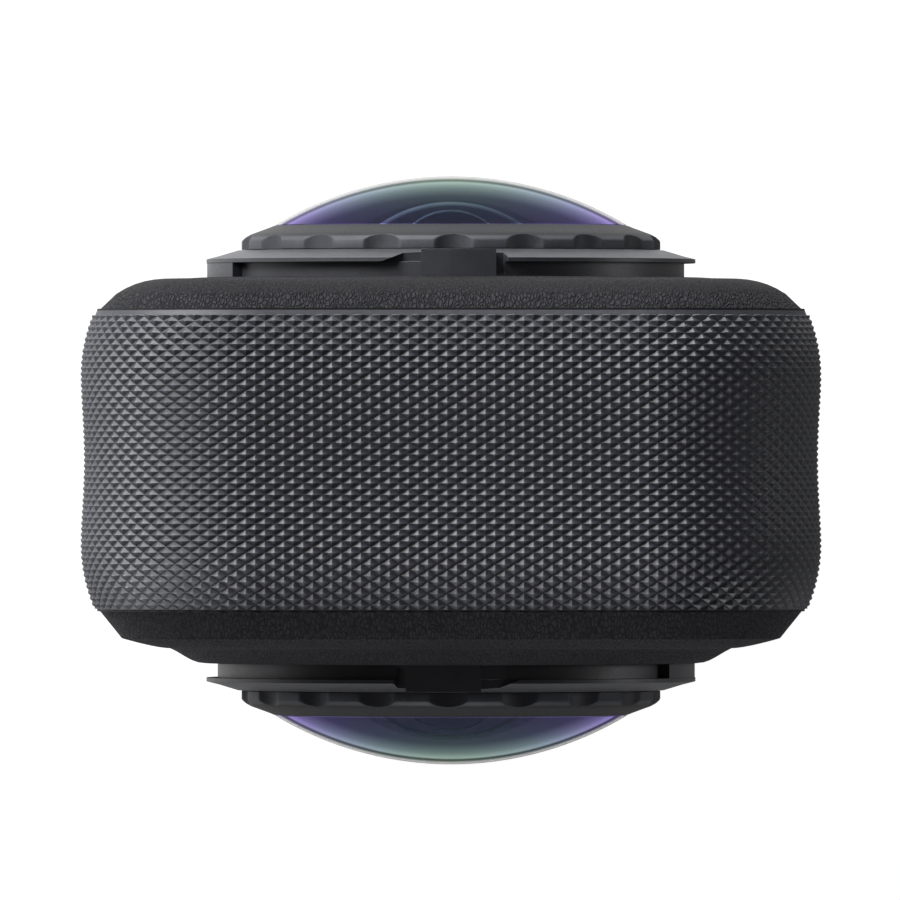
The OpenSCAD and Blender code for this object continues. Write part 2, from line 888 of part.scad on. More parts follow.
module image_sensor() {
  color(board_green) {
    translate([-sensor_w / 2, -sensor_w / 2, -barrel_l - sensor_t])
      cube([sensor_w, sensor_w, sensor_t]);
    translate([-sensor_board_w / 2, -sensor_board_w / 2, -board_back])
      cube([sensor_board_w, sensor_board_w, sensor_board_t]);
  }
}

module rear_lens_collar() {
  on_rear() collar();
}

module front_lens_collar() {
  on_front() collar();
}

module rear_lens_ring() {
  on_rear() lens_ring();
}

module front_lens_ring() {
  on_front() lens_ring();
}

module rear_dome() {
  on_rear() lens_dome();
}

module front_dome() {
  on_front() lens_dome();
}

module rear_lens_seal() {
  on_rear() lens_seal();
}

module front_lens_seal() {
  on_front() lens_seal();
}

module rear_lens_barrel() {
  on_rear() lens_barrel();
}

module front_lens_barrel() {
  on_front() lens_barrel();
}

module rear_inner_lens() {
  on_rear() inner_lens();
}

module front_inner_lens() {
  on_front() inner_lens();
}

module rear_retaining_ring() {
  on_rear() retaining_ring();
}

module front_retaining_ring() {
  on_front() retaining_ring();
}

module rear_relay_lens() {
  on_rear() relay_lens();
}

module front_relay_lens() {
  on_front() relay_lens();
}

module rear_image_sensor() {
  on_rear() image_sensor();
}

module front_image_sensor() {
  on_front() image_sensor();
}

module sensor_heat_sink() {
  color(metal)
  translate([0, 0, lens_z])
    rod_y(barrel_r - 0.1, board_back - front_base, rear_base - board_back);
}

// Display and buttons

module display_glass() {
  color(black)
  translate([0, 0, display_mid])
    plate_y(display_w, display_h, display_r, -front_face, glass_t - front_face);
}

module display_panel() {
  color(metal)
  translate([0, 0, display_mid])
    plate_y(display_w - 2 * (ledge_w + panel_gap), display_h - 2 * (ledge_w + panel_gap), display_r - ledge_w,
      glass_t - front_face, glass_t + panel_t - front_face);
}

module display_tape() {
  color(black)
  translate([0, 0, display_mid])
    difference() {
      plate_y(display_w, display_h, display_r, glass_t - front_face, glass_t + tape_t - front_face);
      plate_y(display_w - 2 * ledge_w, display_h - 2 * ledge_w, display_r - ledge_w / 2,
        -front_face, front_face);
    }
}

// Pill-shaped key with a retaining flange behind the front cover
module front_key(x) {
  color(black)
  translate([x, 0, key_z]) {
    plate_y(key_w, key_h, key_h * 0.48, -front_face - key_proud, -key_back - flange_t);
    plate_y(key_w + key_flange, key_h + key_flange, key_h * 0.48, -key_back - flange_t, -key_back);
  }
}

module shutter_button() {
  front_key(-key_pitch / 2);
}

module lens_button() {
  front_key(key_pitch / 2);
}

module button_board() {
  color(board_green) {
    translate([0, 0, key_z])
      plate_y(2 * key_board_half, key_board_h, 1, -key_board, board_t - key_board);
    for (x = [-1, 1])
      translate([x * key_pitch / 2, 0, key_z])
        block([-switch_w / 2, -key_board - switch_h, -switch_w / 2],
          [switch_w / 2, -key_board, switch_w / 2]);
  }
}

// Pill-shaped key with a retaining flange inside the side wall
module side_key(z) {
  color(black)
  translate([0, band_mid, z]) {
    plate_x(side_key_w, side_key_l, side_key_w * 0.47, in_w - 0.05, side_x);
    plate_x(side_key_w + 1.2, side_key_l + 2 * side_flange, side_key_w * 0.47, side_back, in_w - 0.05);
  }
}

module power_button() {
  side_key(power_z);
}

module mode_button() {
  side_key(mode_z);
}

module side_board() {
  color(board_green)
  translate([0, band_mid, 0]) {
    block([side_board - board_t, -side_board_w / 2, side_low], [side_board, side_board_w / 2, side_high]);
    for (z = [power_z, mode_z])
      translate([0, 0, z])
        block([side_board, -side_switch_w / 2, -side_switch_l / 2],
          [side_board + switch_h, side_switch_w / 2, side_switch_l / 2]);
  }
}

// Electronics

module main_board() {
  mid = (main_z0 + main_z1) / 2;
  color(board_green)
  difference() {
    translate([0, 0, mid])
      plate_y(2 * main_half, main_z1 - main_z0, 1.5, -main_y, main_back);
    for (x = [-1, 1], z = [main_z0 + main_screw_in, main_z1 - main_screw_in])
      translate([x * main_screw_x, 0, z])
        rod_y(main_screw_r + 0.1, -main_y - cut, main_back + cut);
  }
}

module processor_shield() {
  color(metal)
  translate([0, 0, main_z0 + shield_up])
    plate_y(shield_w, shield_h, 1, main_back, main_back + shield_t);
}

module board_screws() {
  color(metal)
  for (x = [-1, 1], z = [main_z0 + main_screw_in, main_z1 - main_screw_in])
    translate([x * main_screw_x, 0, z]) {
      rod_y(main_head_r, -main_y - main_screw_r, -main_y);
      rod_y(main_screw_r, -main_y - main_screw_r / 2, main_back + boss_t - 0.2);
    }
}

module speaker() {
  color(black)
  translate([0, 0, speaker_z])
    plate_y(speaker_w, speaker_h, 2, rear_in - speaker_t, rear_in);
}

module microphones() {
  color(metal) {
    translate([-mic_l / 2, -front_in, front_mic_z - mic_w / 2])
      cube([mic_l, mic_t, mic_w]);
    translate([-mic_l / 2, rear_in - mic_t, rear_mic_z - mic_w / 2])
      cube([mic_l, mic_t, mic_w]);
    translate([in_w - mic_t, band_mid - mic_w / 2, lens_z - mic_l / 2])
      cube([mic_t, mic_w, mic_l]);
  }
}

module heat_spreader() {
  y0 = band_mid + bay_w / 2 + bay_wall;
  color(metal)
  translate([0, 0, pack_z + 1])
    plate_y(2 * spreader_half, pack_h - 2, 2, y0, y0 + spreader_t);
}

module status_lights() {
  color("#e8efe6") {
    translate([0, 0, rear_light_z]) {
      plate_y(light_w, light_h, light_h * 0.475, rear_in, rear_face);
      plate_y(light_w + 2 * light_flange, light_h + 2 * light_flange, light_h * 0.75,
        rear_in - light_flange_t, rear_in);
    }
    translate([front_light_x, 0, front_light_z]) {
      rod_y(light_r, -front_face, -front_in);
      rod_y(light_flange_r, -front_in, light_flange_t - front_in);
    }
  }
}

// Battery

module battery_bay() {
  color(black)
  translate([0, band_mid, pack_z])
    difference() {
      plate_x(bay_w + 2 * bay_wall, bay_h + 2 * bay_wall, 1.5, -in_w, bay_end + bay_wall);
      plate_x(bay_w, bay_h, 0.8, -in_w - cut, bay_end);
    }
}

module battery_contacts() {
  color(brass)
  for (i = [-1.5 : 1.5])
    translate([0, band_mid + contact_pitch * i, pack_z + contact_up])
      block([pack_end + 0.15, -contact_w / 2, -contact_h / 2], [bay_end, contact_w / 2, contact_h / 2]);
}

module battery_pack() {
  color("#45464a")
  translate([0, band_mid, pack_z])
    plate_x(pack_t, pack_h, 1, -cap_in, pack_end);
}

module battery_cap() {
  color(plastic)
  translate([0, band_mid, pack_z])
    difference() {
      plate_x(cap_w, cap_h, cap_r, -side_x, -cap_in);
      difference() {
        plate_x(cap_w + 2 * cut, cap_h + 2 * cut, cap_r + cut, -cap_in - seal_in - seal_w, -cap_in - seal_in);
        plate_x(cap_w - 2 * seal_d, cap_h - 2 * seal_d, cap_r - seal_d, -side_x, -cap_in);
      }
      for (s = [0, 1])
        mirror([0, 0, s]) {
          translate([0, 0, slider_z - (slot_l - slider_l) / 2 + 0.3])
            plate_x(slider_w + 2 * slider_gap, slot_l, 1.2, -side_x - cut, slider_t + 0.1 - side_x);
          translate([0.3 - side_x, -tongue_w / 2 - 0.1, slider_z])
            cube([slider_t - 0.2, tongue_w + 0.2, cap_h / 2]);
        }
    }
}

module battery_seal() {
  color(black)
  translate([0, band_mid, pack_z])
    difference() {
      plate_x(cap_w + 0.2, cap_h + 0.2, cap_r + 0.1,
        press - cap_in - seal_in - seal_w, -cap_in - seal_in - press);
      plate_x(cap_w - 2 * seal_d, cap_h - 2 * seal_d, cap_r - seal_d, -side_x, -cap_in);
    }
}

// Thumb slider and its tongue
module latch() {
  color(black)
  translate([0, 0, slider_z]) {
    difference() {
      plate_x(slider_w, slider_l, 1, 0.05 - side_x, slider_t + 0.05 - side_x);
      for (i = [-2 : 2])
        translate([0, 0, i])
          block([-side_x - cut, -rib_l / 2, -rib_w / 2], [rib_d - side_x, rib_l / 2, rib_w / 2]);
    }
    block([rib_d - side_x, -tongue_w / 2, slider_l / 2 - rib_w],
      [slider_t + 0.05 - side_x, tongue_w / 2, cap_h / 2 - slider_z]);
  }
}

module upper_latch() {
  translate([0, band_mid, pack_z])
    latch();
}

module lower_latch() {
  translate([0, band_mid, pack_z])
    mirror([0, 0, 1])
      latch();
}

// Port door

module port_door() {
  color(plastic)
  translate([0, 0, door_z])
    difference() {
      union() {
        block([-side_x, door_y0, -door_h / 2], [door_t - side_x, pin_y, door_h / 2]);
        translate([-pin_x, pin_y, -door_h / 2])
          cylinder(r = knuckle_r, h = door_h);
      }
      translate([-pin_x, pin_y, -door_h])
        cylinder(r = pin_r + pin_gap, h = 2 * door_h);
      translate([0, door_y0, 0])
        plate_x(notch_w, notch_l, notch_w * 0.44, -side_x - cut, notch_d - side_x);
    }
}

module port_door_seal() {
  color(black)
  translate([0, plug_mid, door_z])
    difference() {
      plate_x(plug_w, plug_h, 1.5 * plug_wall, door_t - side_x, door_t + plug_l - side_x);
      plate_x(plug_w - 2 * plug_wall, plug_h - 2 * plug_wall, plug_wall * 0.75,
        door_t + plug_l / 3 - side_x, 0);
    }
}

module port_door_pin() {
  color(metal)
  translate([-pin_x, pin_y, door_z - pin_l / 2])
    cylinder(r = pin_r, h = pin_l);
}

module charge_port() {
  color(metal)
  translate([0, port_y, door_z]) {
    difference() {
      plate_x(port_w, port_h, 1.5, -port_x, port_l - port_x);
      plate_x(port_w - 2 * port_shell, port_h - 2 * port_shell, 1.5 - port_shell,
        -port_x - cut, port_l - 1 - port_x);
    }
    block([1 - port_x, -port_tongue / 2, -port_tongue_h / 2],
      [port_l - 0.8 - port_x, port_tongue / 2, port_tongue_h / 2]);
  }
}

module port_board() {
  color(board_green)
  translate([0, slice_y, door_z])
    block([0.2 - port_x, 0, -door_h / 2], [holder_l - port_x, board_t, door_h / 2 - 0.4]);
}

module card_holder() {
  color(metal)
  translate([0, card_y, door_z])
    difference() {
      plate_x(holder_t, holder_h, 0.3, -port_x, holder_l - port_x);
      plate_x(card_t + card_gap, card_h + 2 * card_gap, 0.1, -port_x - cut, card_l + 2 * card_gap - port_x);
    }
}

module memory_card() {
  color(black)
  translate([0, card_y, door_z])
    plate_x(card_t, card_h, 0.1, card_gap - port_x, card_gap + card_l - port_x);
}

mid_frame();
rear_cover();
front_cover();
rear_gasket();
front_gasket();
base_plate();
tripod_insert();
base_screws();
lens_carrier();
carrier_screws();
rear_lens_collar();
front_lens_collar();
rear_lens_ring();
front_lens_ring();
rear_dome();
front_dome();
rear_lens_seal();
front_lens_seal();
rear_lens_barrel();
front_lens_barrel();
rear_inner_lens();
front_inner_lens();
rear_retaining_ring();
front_retaining_ring();
rear_relay_lens();
front_relay_lens();
rear_image_sensor();
front_image_sensor();
sensor_heat_sink();
display_glass();
display_panel();
display_tape();
shutter_button();
lens_button();
button_board();
power_button();
mode_button();
side_board();
main_board();
processor_shield();
board_screws();
battery_bay();
battery_contacts();
battery_pack();
battery_cap();
battery_seal();
upper_latch();
lower_latch();
port_door();
port_door_seal();
port_door_pin();
charge_port();
port_board();
card_holder();
memory_card();
speaker();
microphones();
heat_spreader();
status_lights();
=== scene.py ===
# %% [markdown]
# # A pocket camera that looks both ways
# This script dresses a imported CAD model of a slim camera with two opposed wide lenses. The CAD solids are
# the fixed frame: they give every place and size, and nothing here moves them. Each step adds the shape
# or the finish that a plain solid lacks, and says how the real piece is made.

# %% Load the frame
import json
import math

import bmesh
import bpy
from mathutils import Matrix, Vector

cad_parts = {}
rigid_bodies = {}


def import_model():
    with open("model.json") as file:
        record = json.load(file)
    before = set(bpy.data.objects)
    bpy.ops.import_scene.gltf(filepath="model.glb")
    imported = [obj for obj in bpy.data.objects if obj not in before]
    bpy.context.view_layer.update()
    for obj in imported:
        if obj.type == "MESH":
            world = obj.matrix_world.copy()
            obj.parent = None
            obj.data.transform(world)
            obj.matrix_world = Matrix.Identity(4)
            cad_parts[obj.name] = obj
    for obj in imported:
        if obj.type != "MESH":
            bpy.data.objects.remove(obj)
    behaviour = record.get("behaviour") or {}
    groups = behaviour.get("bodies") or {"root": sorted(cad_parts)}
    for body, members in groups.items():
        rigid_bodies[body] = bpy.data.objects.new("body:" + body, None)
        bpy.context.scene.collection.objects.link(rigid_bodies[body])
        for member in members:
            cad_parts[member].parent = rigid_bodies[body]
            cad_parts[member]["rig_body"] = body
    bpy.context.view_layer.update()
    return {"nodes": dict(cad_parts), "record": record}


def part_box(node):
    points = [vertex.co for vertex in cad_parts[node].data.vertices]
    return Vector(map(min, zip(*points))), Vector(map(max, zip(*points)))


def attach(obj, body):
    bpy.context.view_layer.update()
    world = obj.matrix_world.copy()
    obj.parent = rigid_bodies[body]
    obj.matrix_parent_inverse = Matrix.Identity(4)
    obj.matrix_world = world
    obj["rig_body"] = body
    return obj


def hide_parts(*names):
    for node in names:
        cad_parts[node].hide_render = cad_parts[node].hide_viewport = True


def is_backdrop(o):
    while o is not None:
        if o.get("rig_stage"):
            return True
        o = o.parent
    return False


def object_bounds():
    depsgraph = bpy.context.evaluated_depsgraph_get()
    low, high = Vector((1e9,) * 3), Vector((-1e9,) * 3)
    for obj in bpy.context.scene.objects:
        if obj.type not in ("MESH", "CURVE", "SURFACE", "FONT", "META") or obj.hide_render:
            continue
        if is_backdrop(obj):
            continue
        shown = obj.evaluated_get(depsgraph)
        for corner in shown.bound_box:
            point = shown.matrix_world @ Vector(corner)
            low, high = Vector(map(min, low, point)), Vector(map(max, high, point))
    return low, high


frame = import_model()
nodes = frame["nodes"]
scene = bpy.context.scene
scene.view_settings.view_transform = "Standard"
MM = 0.001

# %% [markdown]
# ## Sizes
# Pieces made here have to meet the CAD solids, so places are read off the solids' boxes where that is
# possible. Lengths are in millimetres, as on a drawing, and become metres where a mesh is made. The
# body's nominal outline is the one that the tips of the grip's knurl come close to: the solid band lies a
# little below it.

# %% Measuring
BODY_W, BODY_H, CORNER = 46, 124, 11


def measure(node):
    """Middle and half size of a CAD node's box, in mm."""
    low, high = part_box(node)
    middle = [round((a + b) / 2 / MM, 2) for a, b in zip(low, high)]
    half = [round((b - a) / 2 / MM, 2) for a, b in zip(low, high)]
    return middle, half


LENS_Z = measure("rear_dome")[0][2]
print("the lens axis is", LENS_Z, "mm up")

# %% [markdown]
# ## Camera
# The photograph looks straight down on the camera's top from far away, so edges hardly converge. A long
# lens 1.3 m above the top gives that. The picture's middle lies a little behind the lens mid-plane.

# %% Camera
CAMERA_RISE = 1300
FOCAL, SENSOR = 846, 36
PICTURE_X, PICTURE_Y = -0.06, 1.27
FAR_CLIP = 50
eye = bpy.data.objects.new("photo_camera", bpy.data.cameras.new("photo_camera"))
eye.data.lens = FOCAL
eye.data.sensor_width = SENSOR
eye.data.clip_end = FAR_CLIP
eye.location = Vector((PICTURE_X, PICTURE_Y, BODY_H + CAMERA_RISE)) * MM
scene.collection.objects.link(eye)
scene.camera = eye
print("camera at", [round(v, 4) for v in eye.location])

# %% [markdown]
# ## Tools for finishes
# Colours are written as the sRGB hex values that one reads off a screen, and turned to linear light once.
# A node is added with its settings and its links in one call, so that a material reads as a list of its
# layers. A longer sum takes many small nodes, so it is written as a list of steps. A step has a name for
# its result, the operation, and its inputs: numbers, or the names of results that are known by then.

# %% Colour and node tools
MATH, VECTOR, MIX = "ShaderNodeMath", "ShaderNodeVectorMath", "ShaderNodeMix"
# A Mix node has sockets for every type of value. These are the places of its two colours and their mixture.
COLOUR_A, COLOUR_B, MIXED = 6, 7, 2


def linear(code):
    """Linear RGBA of an sRGB hex colour."""
    parts = [int(code[i:i + 2], 16) / 255 for i in (1, 3, 5)]
    return [c / 12.92 if c <= 0.04045 else ((c + 0.055) / 1.055) ** 2.4 for c in parts] + [1]


def add(tree, kind, inputs=None, stops=None, **settings):
    """Adds a node: settings are its properties, inputs are values or the sockets that feed it."""
    node = tree.nodes.new(kind)
    for name, value in settings.items():
        setattr(node, name, value)
    for name, value in (inputs or {}).items():
        if isinstance(value, bpy.types.NodeSocket):
            tree.links.new(value, node.inputs[name])
        else:
            node.inputs[name].default_value = value
    for i, (place, colour) in enumerate(stops or []):
        ramp = node.color_ramp.elements
        stop = ramp[i] if i < 2 else ramp.new(place)
        stop.position = place
        stop.color = linear(colour)
    return node


def chain(tree, known, kind, steps):
    """Adds a node for each step and puts its result among the known ones."""
    for name, operation, *feeds in steps:
        inputs = {i: known[feed] if isinstance(feed, str) else feed for i, feed in enumerate(feeds)}
        node = add(tree, kind, inputs, operation=operation)
        known[name] = next(socket for socket in node.outputs if socket.enabled)


def blank(name):
    """A material with an empty tree, and the socket of its object coordinates."""
    made = bpy.data.materials.new(name)
    made.use_nodes = True
    made.node_tree.nodes.clear()
    return made, made.node_tree, add(made.node_tree, "ShaderNodeTexCoord").outputs["Object"]


def per_mm(size):
    """Texture scale that draws one feature every size millimetres."""
    return 1 / (size * MM)


print("white is", linear("#ffffff"))

# %% [markdown]
# ## Floor
# The real object was shot on white. A pale floor that glows for the camera, and for what mirrors it,
# keeps the white without pouring light on the object, and its plain share still takes the shadow. In
# mirrors it is bright at the rear left only, as if dark cards lay in front. Seen from below it is clear,
# so the base can be looked at.

# %% Floor
FLOOR_HALF = 6  # metres
FLOOR_DROP = 0.3
FLOOR_GLOW = 0.985
REAR_LEFT = (-0.7, 0.7, 0)
corners = [(x * FLOOR_HALF, y * FLOOR_HALF, -FLOOR_DROP * MM)
           for x, y in ((-1, -1), (1, -1), (1, 1), (-1, 1))]
floor_mesh = bpy.data.meshes.new("studio_floor")
floor_mesh.from_pydata(corners, [], [(0, 1, 2, 3)])
floor = bpy.data.objects.new("studio_floor", floor_mesh)
scene.collection.objects.link(floor)
floor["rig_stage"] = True
paper, tree, place = blank("white_paper_sweep")
known = dict(add(tree, "ShaderNodeLightPath").outputs.items())
chain(tree, known, VECTOR, (("side", "DOT_PRODUCT", place, REAR_LEFT),))
card = add(tree, "ShaderNodeMapRange", {
    "Value": known["side"], "From Min": -0.03, "From Max": 0.05, "To Min": 0.16, "To Max": 1},
    interpolation_type="SMOOTHSTEP")
chain(tree, known, MATH, (
    ("seen", "MULTIPLY", "Is Glossy Ray", card.outputs[0]), ("seen", "MAXIMUM", "Is Camera Ray", "seen"),
    ("seen", "MAXIMUM", "Is Transmission Ray", "seen"), ("glow", "MULTIPLY", "seen", FLOOR_GLOW)))
glow = add(tree, "ShaderNodeEmission", {"Color": linear("#ffffff"), "Strength": known["glow"]})
plain = add(tree, "ShaderNodeBsdfDiffuse", {"Color": linear("#6a6a6a")})
both = add(tree, "ShaderNodeAddShader", {0: glow.outputs[0], 1: plain.outputs[0]})
under = add(tree, "ShaderNodeNewGeometry").outputs["Backfacing"]
clear = add(tree, "ShaderNodeBsdfTransparent")
both = add(tree, "ShaderNodeMixShader", {0: under, 1: both.outputs[0], 2: clear.outputs[0]})
add(tree, "ShaderNodeOutputMaterial", {"Surface": both.outputs[0]})
floor_mesh.materials.append(paper)
print("floor", 2 * FLOOR_HALF, "m wide")

# %% [markdown]
# ## World
# The world is white to the camera. In mirrors it is a dim room that is paler low down, and on everything
# else it sheds only a little light, so that the lamps do the modelling.

# %% World
SKY_LIGHT = 0.085
world = bpy.data.worlds.new("studio_world")
world.use_nodes = True
scene.world = world
tree = world.node_tree
tree.nodes.clear()
known = dict(add(tree, "ShaderNodeLightPath").outputs.items())
height = add(tree, "ShaderNodeSeparateXYZ", {0: add(tree, "ShaderNodeTexCoord").outputs["Generated"]})
room = add(tree, "ShaderNodeMapRange", {
    "Value": height.outputs["Z"], "From Min": 0.1, "From Max": 0.55, "To Min": 0.3, "To Max": 0.08})
chain(tree, known, MATH, (
    ("mirrored", "MAXIMUM", "Is Glossy Ray", "Is Transmission Ray"),
    ("mirrored", "MULTIPLY", "mirrored", room.outputs[0]),
    ("seen", "MAXIMUM", "Is Camera Ray", "mirrored"), ("level", "MAXIMUM", "seen", SKY_LIGHT)))
sky = add(tree, "ShaderNodeBackground", {"Color": linear("#ffffff"), "Strength": known["level"]})
add(tree, "ShaderNodeOutputWorld", {"Surface": sky.outputs[0]})
print("the world lights with a strength of", SKY_LIGHT)

# %% [markdown]
# ## Lamps
# Large area lamps give soft edges. The main one stands at the upper left of the picture. A strip behind
# the object lights its rear edges, a weak narrow one at the right draws the outline there, and a low card
# fills the front. An area lamp of P watts, d metres away, gives about P / (pi d d) on what faces it, and
# pi shows a colour as it is written, so each lamp is given that share and its watts follow.

# %% Lamps
AIM = Vector((0, 0, 0.1))  # metres, as the lamps' distances and sizes
for name, direction, distance, size, share in (
        ("key_softbox", (-0.64, 0.67, 0.37), 1.3, 0.95, 1.85),
        ("rear_strip", (-0.2, 1, 0.06), 1.3, 0.5, 1.0),
        ("rim_strip", (1, 0.1, -0.02), 1.1, 0.25, 0.14),
        ("fill_card", (-0.1, -1, -0.08), 1.5, 0.9, 1.0)):
    lamp = bpy.data.objects.new(name, bpy.data.lights.new(name, "AREA"))
    lamp.data.size = size
    lamp.data.energy = share * math.pi * math.pi * distance ** 2
    away = Vector(direction).normalized()
    lamp.location = AIM + away * distance
    lamp.rotation_euler = away.to_track_quat("Z", "Y").to_euler()
    scene.collection.objects.link(lamp)
    print(name, round(lamp.data.energy, 2), "W")

# %% [markdown]
# ## Moulded and machined finishes
# Most surfaces here are one recipe: a tint that drifts a little, a gloss that drifts with it, and a fine
# relief. What differs is the grain's real size and how deep it is. A recipe keeps them comparable; each
# call names the real material and how its surface came about.

# %% A recipe for plain surfaces
DRIFT = 9  # grains in one patch of drifting tint


def surface(name, dark, light, grain, relief, gloss, metallic=0.0, ior=1.5, stretch=(1, 1, 1), mirror=0.5):
    """Grain and relief are in mm, gloss is the least and most roughness, mirror scales what is mirrored."""
    made, tree, place = blank(name)
    place = add(tree, "ShaderNodeMapping", {"Vector": place, "Scale": stretch}).outputs[0]
    known = {}
    for layer, size, detail in (("fine", grain, 3.0), ("drift", DRIFT * grain, 2.0)):
        known[layer] = add(tree, "ShaderNodeTexNoise", {
            "Vector": place, "Scale": per_mm(size), "Detail": detail}).outputs[0]
    chain(tree, known, MATH, (("blend", "ADD", "fine", "drift"), ("blend", "MULTIPLY", "blend", 0.5)))
    tint = add(tree, "ShaderNodeValToRGB", {"Fac": known["blend"]}, stops=[(0.3, dark), (0.7, light)])
    rough = add(tree, "ShaderNodeMapRange", {
        "Value": known["fine"], "From Min": 0.3, "From Max": 0.7, "To Min": gloss[0], "To Max": gloss[1]})
    bump = add(tree, "ShaderNodeBump", {
        "Height": known["fine"], "Strength": 1.0, "Distance": relief * MM})
    shader = add(tree, "ShaderNodeBsdfPrincipled", {
        "Base Color": tint.outputs[0], "Roughness": rough.outputs[0], "Normal": bump.outputs[0],
        "Metallic": metallic, "IOR": ior, "Specular IOR Level": mirror})
    add(tree, "ShaderNodeOutputMaterial", {"Surface": shader.outputs[0]})
    return made


# Spark-eroded moulds leave black plastic with a fine even matt that scatters lamps into a soft sheen.
satin_plastic = surface("abs_black_spark_eroded", "#141416", "#1d1d20",
                        grain=0.12, relief=0.004, gloss=(0.38, 0.52))
# Keys are polished a little further, so fingers slide and the edges draw a thin line of light.
key_plastic = surface("polycarbonate_key_satin", "#1a1a1d", "#242428",
                      grain=0.15, relief=0.003, gloss=(0.3, 0.42), ior=1.58)
# Moulded silicone is dull and nearly black.
rubber = surface("silicone_moulded_matt", "#0d0d0e", "#161617",
                 grain=0.2, relief=0.006, gloss=(0.62, 0.8), ior=1.41)
print(len(bpy.data.materials), "materials so far")

# %% [markdown]
# ## Metals
# Dark anodising seals a dye in the metal's own oxide. It hides most of the mirror, so those finishes are
# largely a dark grey skin with a small metallic share. Bare steel, cast aluminium and plated brass keep
# all of theirs.

# %% Metals
# Glass beads blasted at aluminium before the dye leave dimples of about 0.1 mm, which spread highlights.
blasted = surface("aluminium_bead_blasted_anodised", "#38393d", "#44454a",
                  grain=0.13, relief=0.004, gloss=(0.38, 0.5), metallic=0.2)
# The turning rings are blasted coarser before the dye, and look drier than the collars.
ring_blasted = surface("aluminium_coarse_blasted_anodised", "#393a3f", "#48494f",
                       grain=0.16, relief=0.006, gloss=(0.5, 0.62), metallic=0.1, mirror=0.25)
# The sloping strip round each dome is the same anodised metal, a little smoother, and its colour is painted
# much darker: painted shade, which holds down how bright the lamps make that slope.
ring_strip_painted_shade = surface("aluminium_anodised_painted_shade", "#18191b", "#1f2023",
                      grain=0.16, relief=0.003, gloss=(0.46, 0.56), metallic=0.1, mirror=0.25)
# Turned steel shows fine rings, made here of noise that is pressed flat along one axis.
steel = surface("stainless_steel_turned", "#8b8b8d", "#b9babd",
                grain=0.3, relief=0.002, gloss=(0.2, 0.36), metallic=1.0, stretch=(1, 1, 6))
# Die-cast aluminium keeps a pebbly skin and a pale oxide tint.
cast = surface("aluminium_die_cast", "#97999c", "#c3c5c8",
               grain=0.6, relief=0.012, gloss=(0.4, 0.6), metallic=1.0)
# Gold over brass on the spring contacts is warm and bright.
gilded = surface("brass_gold_plated", "#b98a35", "#e3bd66",
                 grain=0.2, relief=0.002, gloss=(0.16, 0.28), metallic=1.0)
print(len(bpy.data.materials), "materials so far")

# %% [markdown]
# ## Films, resins and ink
# The last plain surfaces are thin or small: a wrapped battery, a memory card, light windows, printed
# marks and the dark layers of a display.

# %% Films, resins and ink
# A battery's heat-shrunk film wrinkles slightly and is half glossy.
shrink_film = surface("polyester_heat_shrunk_film", "#242528", "#303136",
                      grain=2.2, relief=0.02, gloss=(0.28, 0.42), ior=1.57)
# A memory card's shell is ground black resin, flat and even.
card_resin = surface("epoxy_card_shell_ground", "#121213", "#1b1b1d",
                     grain=0.1, relief=0.002, gloss=(0.4, 0.55), ior=1.55)
# Light windows are smoked acrylic with a frosted face, grey while the light behind is off.
frosted = surface("acrylic_smoked_frosted", "#747b78", "#8e9592",
                  grain=0.15, relief=0.004, gloss=(0.3, 0.45), ior=1.49)
# Pad-printed ink lies a few hundredths of a millimetre thick and is matt.
ink = surface("polyurethane_ink_pad_printed", "#8b8d90", "#a3a5a8",
              grain=0.2, relief=0.003, gloss=(0.55, 0.7))
# An unlit display stack is a deep neutral black.
dark_panel = surface("display_stack_unlit", "#050506", "#09090c",
                     grain=1.5, relief=0.001, gloss=(0.12, 0.2), ior=1.5)
print(len(bpy.data.materials), "materials so far")

# %% [markdown]
# ## Circuit boards
# Solder mask is a glossy green lacquer over copper tracks that stand a few hundredths of a millimetre
# proud. Square cells of two sizes stand for pads and tracks: only slivers of board show past the battery
# and port.

# %% Circuit board finish
PAD, TRACK = 1.6, 0.8
COPPER = 0.03
board_mask, tree, place = blank("fibreglass_board_solder_mask")
pads = add(tree, "ShaderNodeTexVoronoi", {"Vector": place, "Scale": per_mm(PAD)}, distance="CHEBYCHEV")
tracks = add(tree, "ShaderNodeTexVoronoi", {"Vector": place, "Scale": per_mm(TRACK)}, distance="MANHATTAN")
lift = add(tree, MATH, {0: pads.outputs["Distance"], 1: tracks.outputs["Distance"]}, operation="MULTIPLY")
tint = add(tree, "ShaderNodeValToRGB", {"Fac": lift.outputs[0]},
           stops=[(0.03, "#c9a14a"), (0.05, "#1d5a3a"), (0.3, "#123f2a")])
bump = add(tree, "ShaderNodeBump", {"Height": lift.outputs[0], "Strength": 0.6, "Distance": COPPER * MM})
shader = add(tree, "ShaderNodeBsdfPrincipled", {
    "Base Color": tint.outputs[0], "Roughness": 0.28, "IOR": 1.55, "Normal": bump.outputs[0]})
add(tree, "ShaderNodeOutputMaterial", {"Surface": shader.outputs[0]})
print("made", board_mask.name)

# %% [markdown]
# ## Leather-grained covers
# The covers are moulded in a tool whose skin was etched with a leather grain: cells of a few tenths of a
# millimetre, drawn out front to back and split by fine creases. A cell pattern warped by noise gives
# creases that wander as etched ones do.

